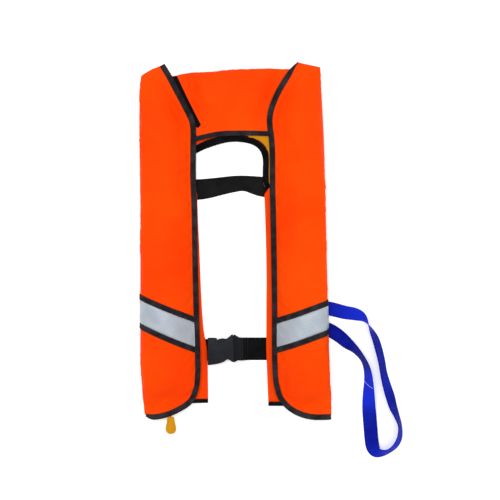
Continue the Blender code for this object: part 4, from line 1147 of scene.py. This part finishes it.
def back_panel():
    """The back panel, with the sewn edges of its two strips."""
    outline = upper_outline("back_panel")
    outline[:, 2] = PANEL_LEVEL
    lowered_head(outline)
    foot, right = outline[:, 1] < -0.280, outline[:, 0] > 0.13
    outline[foot, 1] -= 4.5 * MM  # reaches under the hem tape
    outline[right, 0] += 2.8 * MM  # and under the right cover's fold
    panel = gridded("back_panel_fabric", outline, 9.0 * MM)
    for vert in panel.data.vertices:  # fabric is never quite flat
        vert.co.z += 0.28 * MM * noise.noise(vert.co * 38.0)
    solidify(panel, PANEL_THICK, 0.0)
    apply_modifiers(panel)
    dress(panel, ORANGE, "orange_fabric", "jacket", ["back_panel"])
    # The fold along each strip's inner edge is sewn down
    for side, xs in (("left", (-0.069, -0.048)), ("right", (0.052, 0.061))):
        edge = [p for p in outline if xs[0] <= p[0] <= xs[1] and p[1] < 0.085]
        edge = resample(rounded_corners(sorted(edge, key=lambda p: -p[1]), 1), 120)
        sign = -1.0 if side == "left" else 1.0
        path = edge + np.array([sign * 4.0 * MM, 0.0, 0.62 * MM])
        dress(stitches("strip_hem_stitches_" + side, path), ORANGE_THREAD, "orange_fabric",
              "jacket")


def bladder():
    """The folded bladder, swollen a little from its CAD solid so that its folds are soft."""
    piece = link("folded_bladder", NODES["bladder"].data.copy())
    remesh = piece.modifiers.new("voxels", "REMESH")
    remesh.mode = "VOXEL"
    remesh.voxel_size = 3.6 * MM
    apply_modifiers(piece)
    places = np.array([v.co for v in piece.data.vertices])
    floor_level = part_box("bladder")[0].z
    places[:, 2] = floor_level + (places[:, 2] - floor_level) * 0.82  # room to swell into
    lowered_head(places)
    for place in places:
        folds = noise.noise(Vector((place[0] * 30, place[1] * 90, 0.0)))
        place[2] += 0.8 * MM * folds * smooth_step(0.007, 0.012, place[2])
    piece.data.vertices.foreach_set("co", places.astype(np.float32).ravel())
    moved = settled(piece, 12, quality=4, tension_stiffness=15.0, bending_stiffness=0.5,
                    uniform_pressure_force=4.0)
    moved = limited(places, moved, 0.5 * MM)
    moved[:, 2] = np.maximum(moved[:, 2], 3.0 * MM)
    piece.data.vertices.foreach_set("co", moved.astype(np.float32).ravel())
    piece.data.update()
    piece.data.shade_smooth()
    dress(piece, YELLOW, "yellow_coated_fabric", "jacket", ["bladder"])


collar_binding()
collar_end_tape(grid)
back_panel()
bladder()

PANEL_TAPE = PANEL_LEVEL + 0.1 * MM
HEMS = [  # the lower and upper edge of each strip's hem, in mm
    ("left", [(-157.8, -293.3), (-75.0, -295.4), (-48.6, -291.8)],
     [(-157.8, -286.0), (-75.0, -287.4), (-48.6, -284.2)]),
    ("right", [(60.1, -297.4), (85.0, -300.2), (168.4, -296.0)],
     [(60.1, -289.8), (85.0, -291.4), (168.4, -288.0)])]
# Painted shade: the dark neck binding reaches further in than its CAD node, partly to meet the
# bladder and, on the left, to cover where shade falls under the collar
NECK_WIDER_OVER_SHADE = ([-0.07, -0.05, 0.0, 0.03, 0.046, 0.052],  # at each x, by how much
              np.array([3.6, 5.4, 4.4, 2.4, 2.4, 4.4]) * MM)
sides = widened(*lower_first("neckline_binding"), NECK_WIDER_OVER_SHADE)
edge_binding("neck_edge_binding", "neckline_binding", sides, PANEL_TAPE, "jacket", 11, 0.1 * MM,
             DEEP_TAPE)
binding_stitches("neck_binding_stitches", sides, PANEL_TAPE, "jacket")
for side, *sides in HEMS:
    sides = [np.array([(x, y, PANEL_TAPE / MM) for x, y in edge]) * MM for edge in sides]
    edge_binding("strip_hem_" + side, "back_hem_" + side, sides, PANEL_TAPE, "jacket", 13,
                 0.1 * MM, DEEP_TAPE)
    binding_stitches("strip_hem_tape_stitches_" + side, sides, PANEL_TAPE, "jacket")


# ---------------------------------------------------------------- webbing and buckle

def softened(node, name, material, slot, body, width, segments=2):
    """A CAD node's shape with its edges rounded, as a piece of its own."""
    piece = link(name, NODES[node].data.copy())
    bm = bmesh.new()
    bm.from_mesh(piece.data)
    bmesh.ops.remove_doubles(bm, verts=bm.verts, dist=1e-6)
    bmesh.ops.dissolve_limit(bm, angle_limit=math.radians(1.0), verts=bm.verts, edges=bm.edges)
    bm.to_mesh(piece.data)
    bm.free()
    soften_edges(piece, width, segments, 35)
    apply_modifiers(piece)
    piece.data.shade_smooth()
    piece.data.set_sharp_from_angle(angle=math.radians(50))
    return dress(piece, material, slot, body, [node])


first, second = long_sides("back_strap")
strap = band("back_strap_webbing", first, second, 0.85 * MM, WEBBING)
dress(strap, WEB, "black_webbing", "jacket", ["back_strap"])
softened("waist_webbing_left", "belt_left", BELT, "black_webbing", "jacket", 0.4 * MM)
belt = softened("waist_webbing_right", "belt_right_run", BELT, "black_webbing", "belt_right",
                0.4 * MM)
BELT_TOP, BELT_WIDER = -0.174, 1.075  # a little wider than its CAD node, towards the foot
for vert in belt.data.vertices:
    vert.co.y = BELT_TOP + (vert.co.y - BELT_TOP) * BELT_WIDER
socket, plug, prong = [
    softened(node, name, material, "black_plastic", body, width, 3)
    for node, name, material, body, width in (
        ("buckle_socket", "buckle_socket_body", BLACK_PLASTIC, "jacket", 0.9 * MM),
        ("buckle_plug", "buckle_plug_body", DEEP_PLASTIC, "belt_right", 0.9 * MM),
        ("buckle_prong_upper", "latch_prong_upper", BLACK_PLASTIC, "prong_upper", 0.7 * MM))]
BUCKLE = Matrix.Translation((-4.0 * MM, -193.6 * MM, 0.0)) @ Matrix.Rotation(
    math.radians(3.5), 4, "Z")
SOCKET_FACE = [  # outline in mm: notched for the upper prong, rounded at its lower left
    (-48.9, -174.6), (-49.3, -200.0), (-48.9, -222.6), (-47.6, -223.4), (-35.2, -221.6),
    (-28.0, -220.2), (-22.6, -218.4), (-18.6, -216.4), (-15.4, -214.0), (-13.3, -212.9),
    (-9.4, -214.4), (-5.0, -217.2), (-2.0, -218.2), (-1.9, -215.0), (-2.4, -200.0),
    (-3.2, -180.0), (-4.0, -167.6), (-5.6, -167.9), (-9.5, -171.0), (-14.0, -175.2),
    (-19.8, -180.6), (-21.8, -182.1), (-28.6, -182.6), (-30.6, -181.5), (-31.8, -177.5),
    (-32.9, -174.4), (-36.0, -173.9), (-47.6, -173.8)]
SOCKET_PANEL = [(-42.5, -185.5), (-42.8, -215.0), (-33.0, -213.6), (-24.0, -211.2),
                (-17.0, -207.6), (-7.4, -209.6), (-7.0, -180.0), (-12.0, -182.4),
                (-19.4, -187.0), (-31.0, -187.8)]
PLUG_FACE = [(-2.4, -168.0), (-2.6, -167.4), (-1.0, -168.0), (3.0, -170.4), (6.6, -172.6),
             (9.0, -173.3), (14.6, -173.6), (15.9, -213.6), (9.0, -213.9), (5.6, -214.3),
             (2.5, -216.0), (-0.2, -217.8), (-0.8, -217.0), (-1.5, -195.0)]


def plate(name, outline, top, thick, edge, body, material=BLACK_PLASTIC):
    """A moulded plate with an outline in mm and rounded edges, its top at a height."""
    piece = mesh_piece(name, [(x * MM, y * MM, top) for x, y in outline],
                       [list(range(len(outline)))], smooth=False)
    if piece.data.polygons[0].normal.z < 0:
        piece.data.flip_normals()
    solidify(piece, thick)
    soften_edges(piece, edge, 3, 50)
    apply_modifiers(piece)
    piece.data.shade_smooth()
    piece.data.set_sharp_from_angle(angle=math.radians(40))
    return dress(piece, material, "black_plastic", body)


def kept_inside(piece, xs, ys, top=1.0):
    """Pull a buckle piece's points in to |y| <= ys at each x, in the buckle's own frame."""
    for vert in piece.data.vertices:
        place = BUCKLE.inverted() @ vert.co
        limit = np.interp(place.x / MM, xs, ys) * MM
        place.y = min(max(place.y, -limit), limit)
        place.z = min(place.z, top)
        vert.co = BUCKLE @ place


kept_inside(socket, [-44.5, -28.8, -16.5, -9.5, 0.0], [20.6, 20.6, 18.6, 18.4, 24.6], 11.6 * MM)
kept_inside(prong, [-30.0, 0.0], [20.2, 20.2])
for vert in plug.data.vertices:  # its shoulders narrow to the width of the webbing
    place = BUCKLE.inverted() @ vert.co
    if place.x > 0.2 * MM:
        place.y *= 1.0 - 0.135 * smooth_step(0.2 * MM, 8.0 * MM, place.x) ** 0.7
    vert.co = BUCKLE @ place
plate("buckle_socket_face", SOCKET_FACE, 12.3 * MM, 2.8 * MM, 0.9 * MM, "jacket")
plate("buckle_socket_panel", SOCKET_PANEL, 12.8 * MM, 1.2 * MM, 0.5 * MM, "jacket")
plate("buckle_plug_face", PLUG_FACE, 12.0 * MM, 1.6 * MM, 0.6 * MM, "belt_right", DEEP_PLASTIC)


def sewn_across(name, piece, start, end, material, body, radius=THREAD):
    """A row of stitches on top of a piece, along a straight line in plan, in mm."""
    surface = BVHTree.FromPolygons([v.co for v in piece.data.vertices],
                                   [tuple(p.vertices) for p in piece.data.polygons])
    path = []
    for x, y in np.linspace(start, end, 30):
        found = above(surface, x * MM, y * MM)
        if found:
            path.append(tuple(found + UP * 0.1 * MM))
    return dress(stitches(name, path, radius=radius), material, "black_webbing", body)


for number, x in enumerate((18.0, 22.5)):
    sewn_across(f"belt_stitches_{number}", belt, (x, -176.0), (x + 1.0, -213.0), DARK_THREAD,
                "belt_right", 0.9 * THREAD)
sewn_across("back_strap_stitches", NODES["neckline_binding"], (50.8, 106.0), (57.4, 88.0),
            GREY_THREAD, "jacket")
softened("buckle_prong_lower", "latch_prong_lower", BLACK_PLASTIC, "black_plastic",
         "prong_lower", 0.7 * MM, 3)


# ---------------------------------------------------------------- inside the lobes

recolour(PILE, "black_tape", "hook_strip_left", "hook_strip_right", "hook_strip_collar",
         "loop_strip_left", "loop_strip_right", "loop_strip_collar")
recolour(YELLOW_PLASTIC, "yellow_plastic", "inflator_body", "inflator_lever", "manifold",
         "oral_tube_flange", "oral_cap")
recolour(BLACK_PLASTIC, "black_plastic", "oral_tube", "oral_valve_housing", "cylinder_gasket")
recolour(GREEN_PLASTIC, "green_plastic", "status_clip")
recolour(ORANGE_PLASTIC, "orange_plastic", "whistle")
recolour(STEEL, "plated_steel", "co2_cylinder", "lever_pin", "firing_pin", "return_spring",
         "oral_valve")
recolour(BRASS, "brass", "manifold_nut")
recolour(WEB_FLAT, "black_webbing", "whistle_keeper")


# ---------------------------------------------------------------- studio

def studio():
    """Soft light from two lamps and a white sky, over a pale floor."""
    scene = bpy.context.scene
    scene.view_settings.view_transform = "Standard"
    world = bpy.data.worlds.new("studio")
    scene.world = world
    world.use_nodes = True
    sky = world.node_tree.nodes["Background"]
    sky.inputs["Color"].default_value = (1.0, 1.0, 1.0, 1.0)
    sky.inputs["Strength"].default_value = 0.72
    for name, place, size, power in (("key", (-0.5, 0.7, 2.4), 1.2, 24.0),
                                     ("fill", (0.9, -0.6, 2.2), 1.6, 10.0)):
        data = bpy.data.lights.new(name, "AREA")
        data.size = size
        data.energy = power
        light = link(name, data)
        light.location = place
        light.rotation_euler = (-Vector(place)).to_track_quat("-Z", "Y").to_euler()
    corners = [(x * 30, y * 30, -0.2 * MM) for x, y in ((-1, -1), (1, -1), (1, 1), (-1, 1))]
    floor = mesh_piece("floor", corners, [[0, 1, 2, 3]])
    shade = Shade("pale_floor", (0.93, 0.93, 0.93), 0.9, 0.1,
                  Emission_Color=(1.0, 1.0, 1.0, 1.0), Emission_Strength=0.30)
    grain = shade.noise(shade.place(), 3.0, 2.0)
    floor.data.materials.append(shade.use(Base_Color=shade.ramp(
        grain, (0.3, (0.92, 0.92, 0.92)), (0.7, (0.94, 0.94, 0.94)))))


studio()
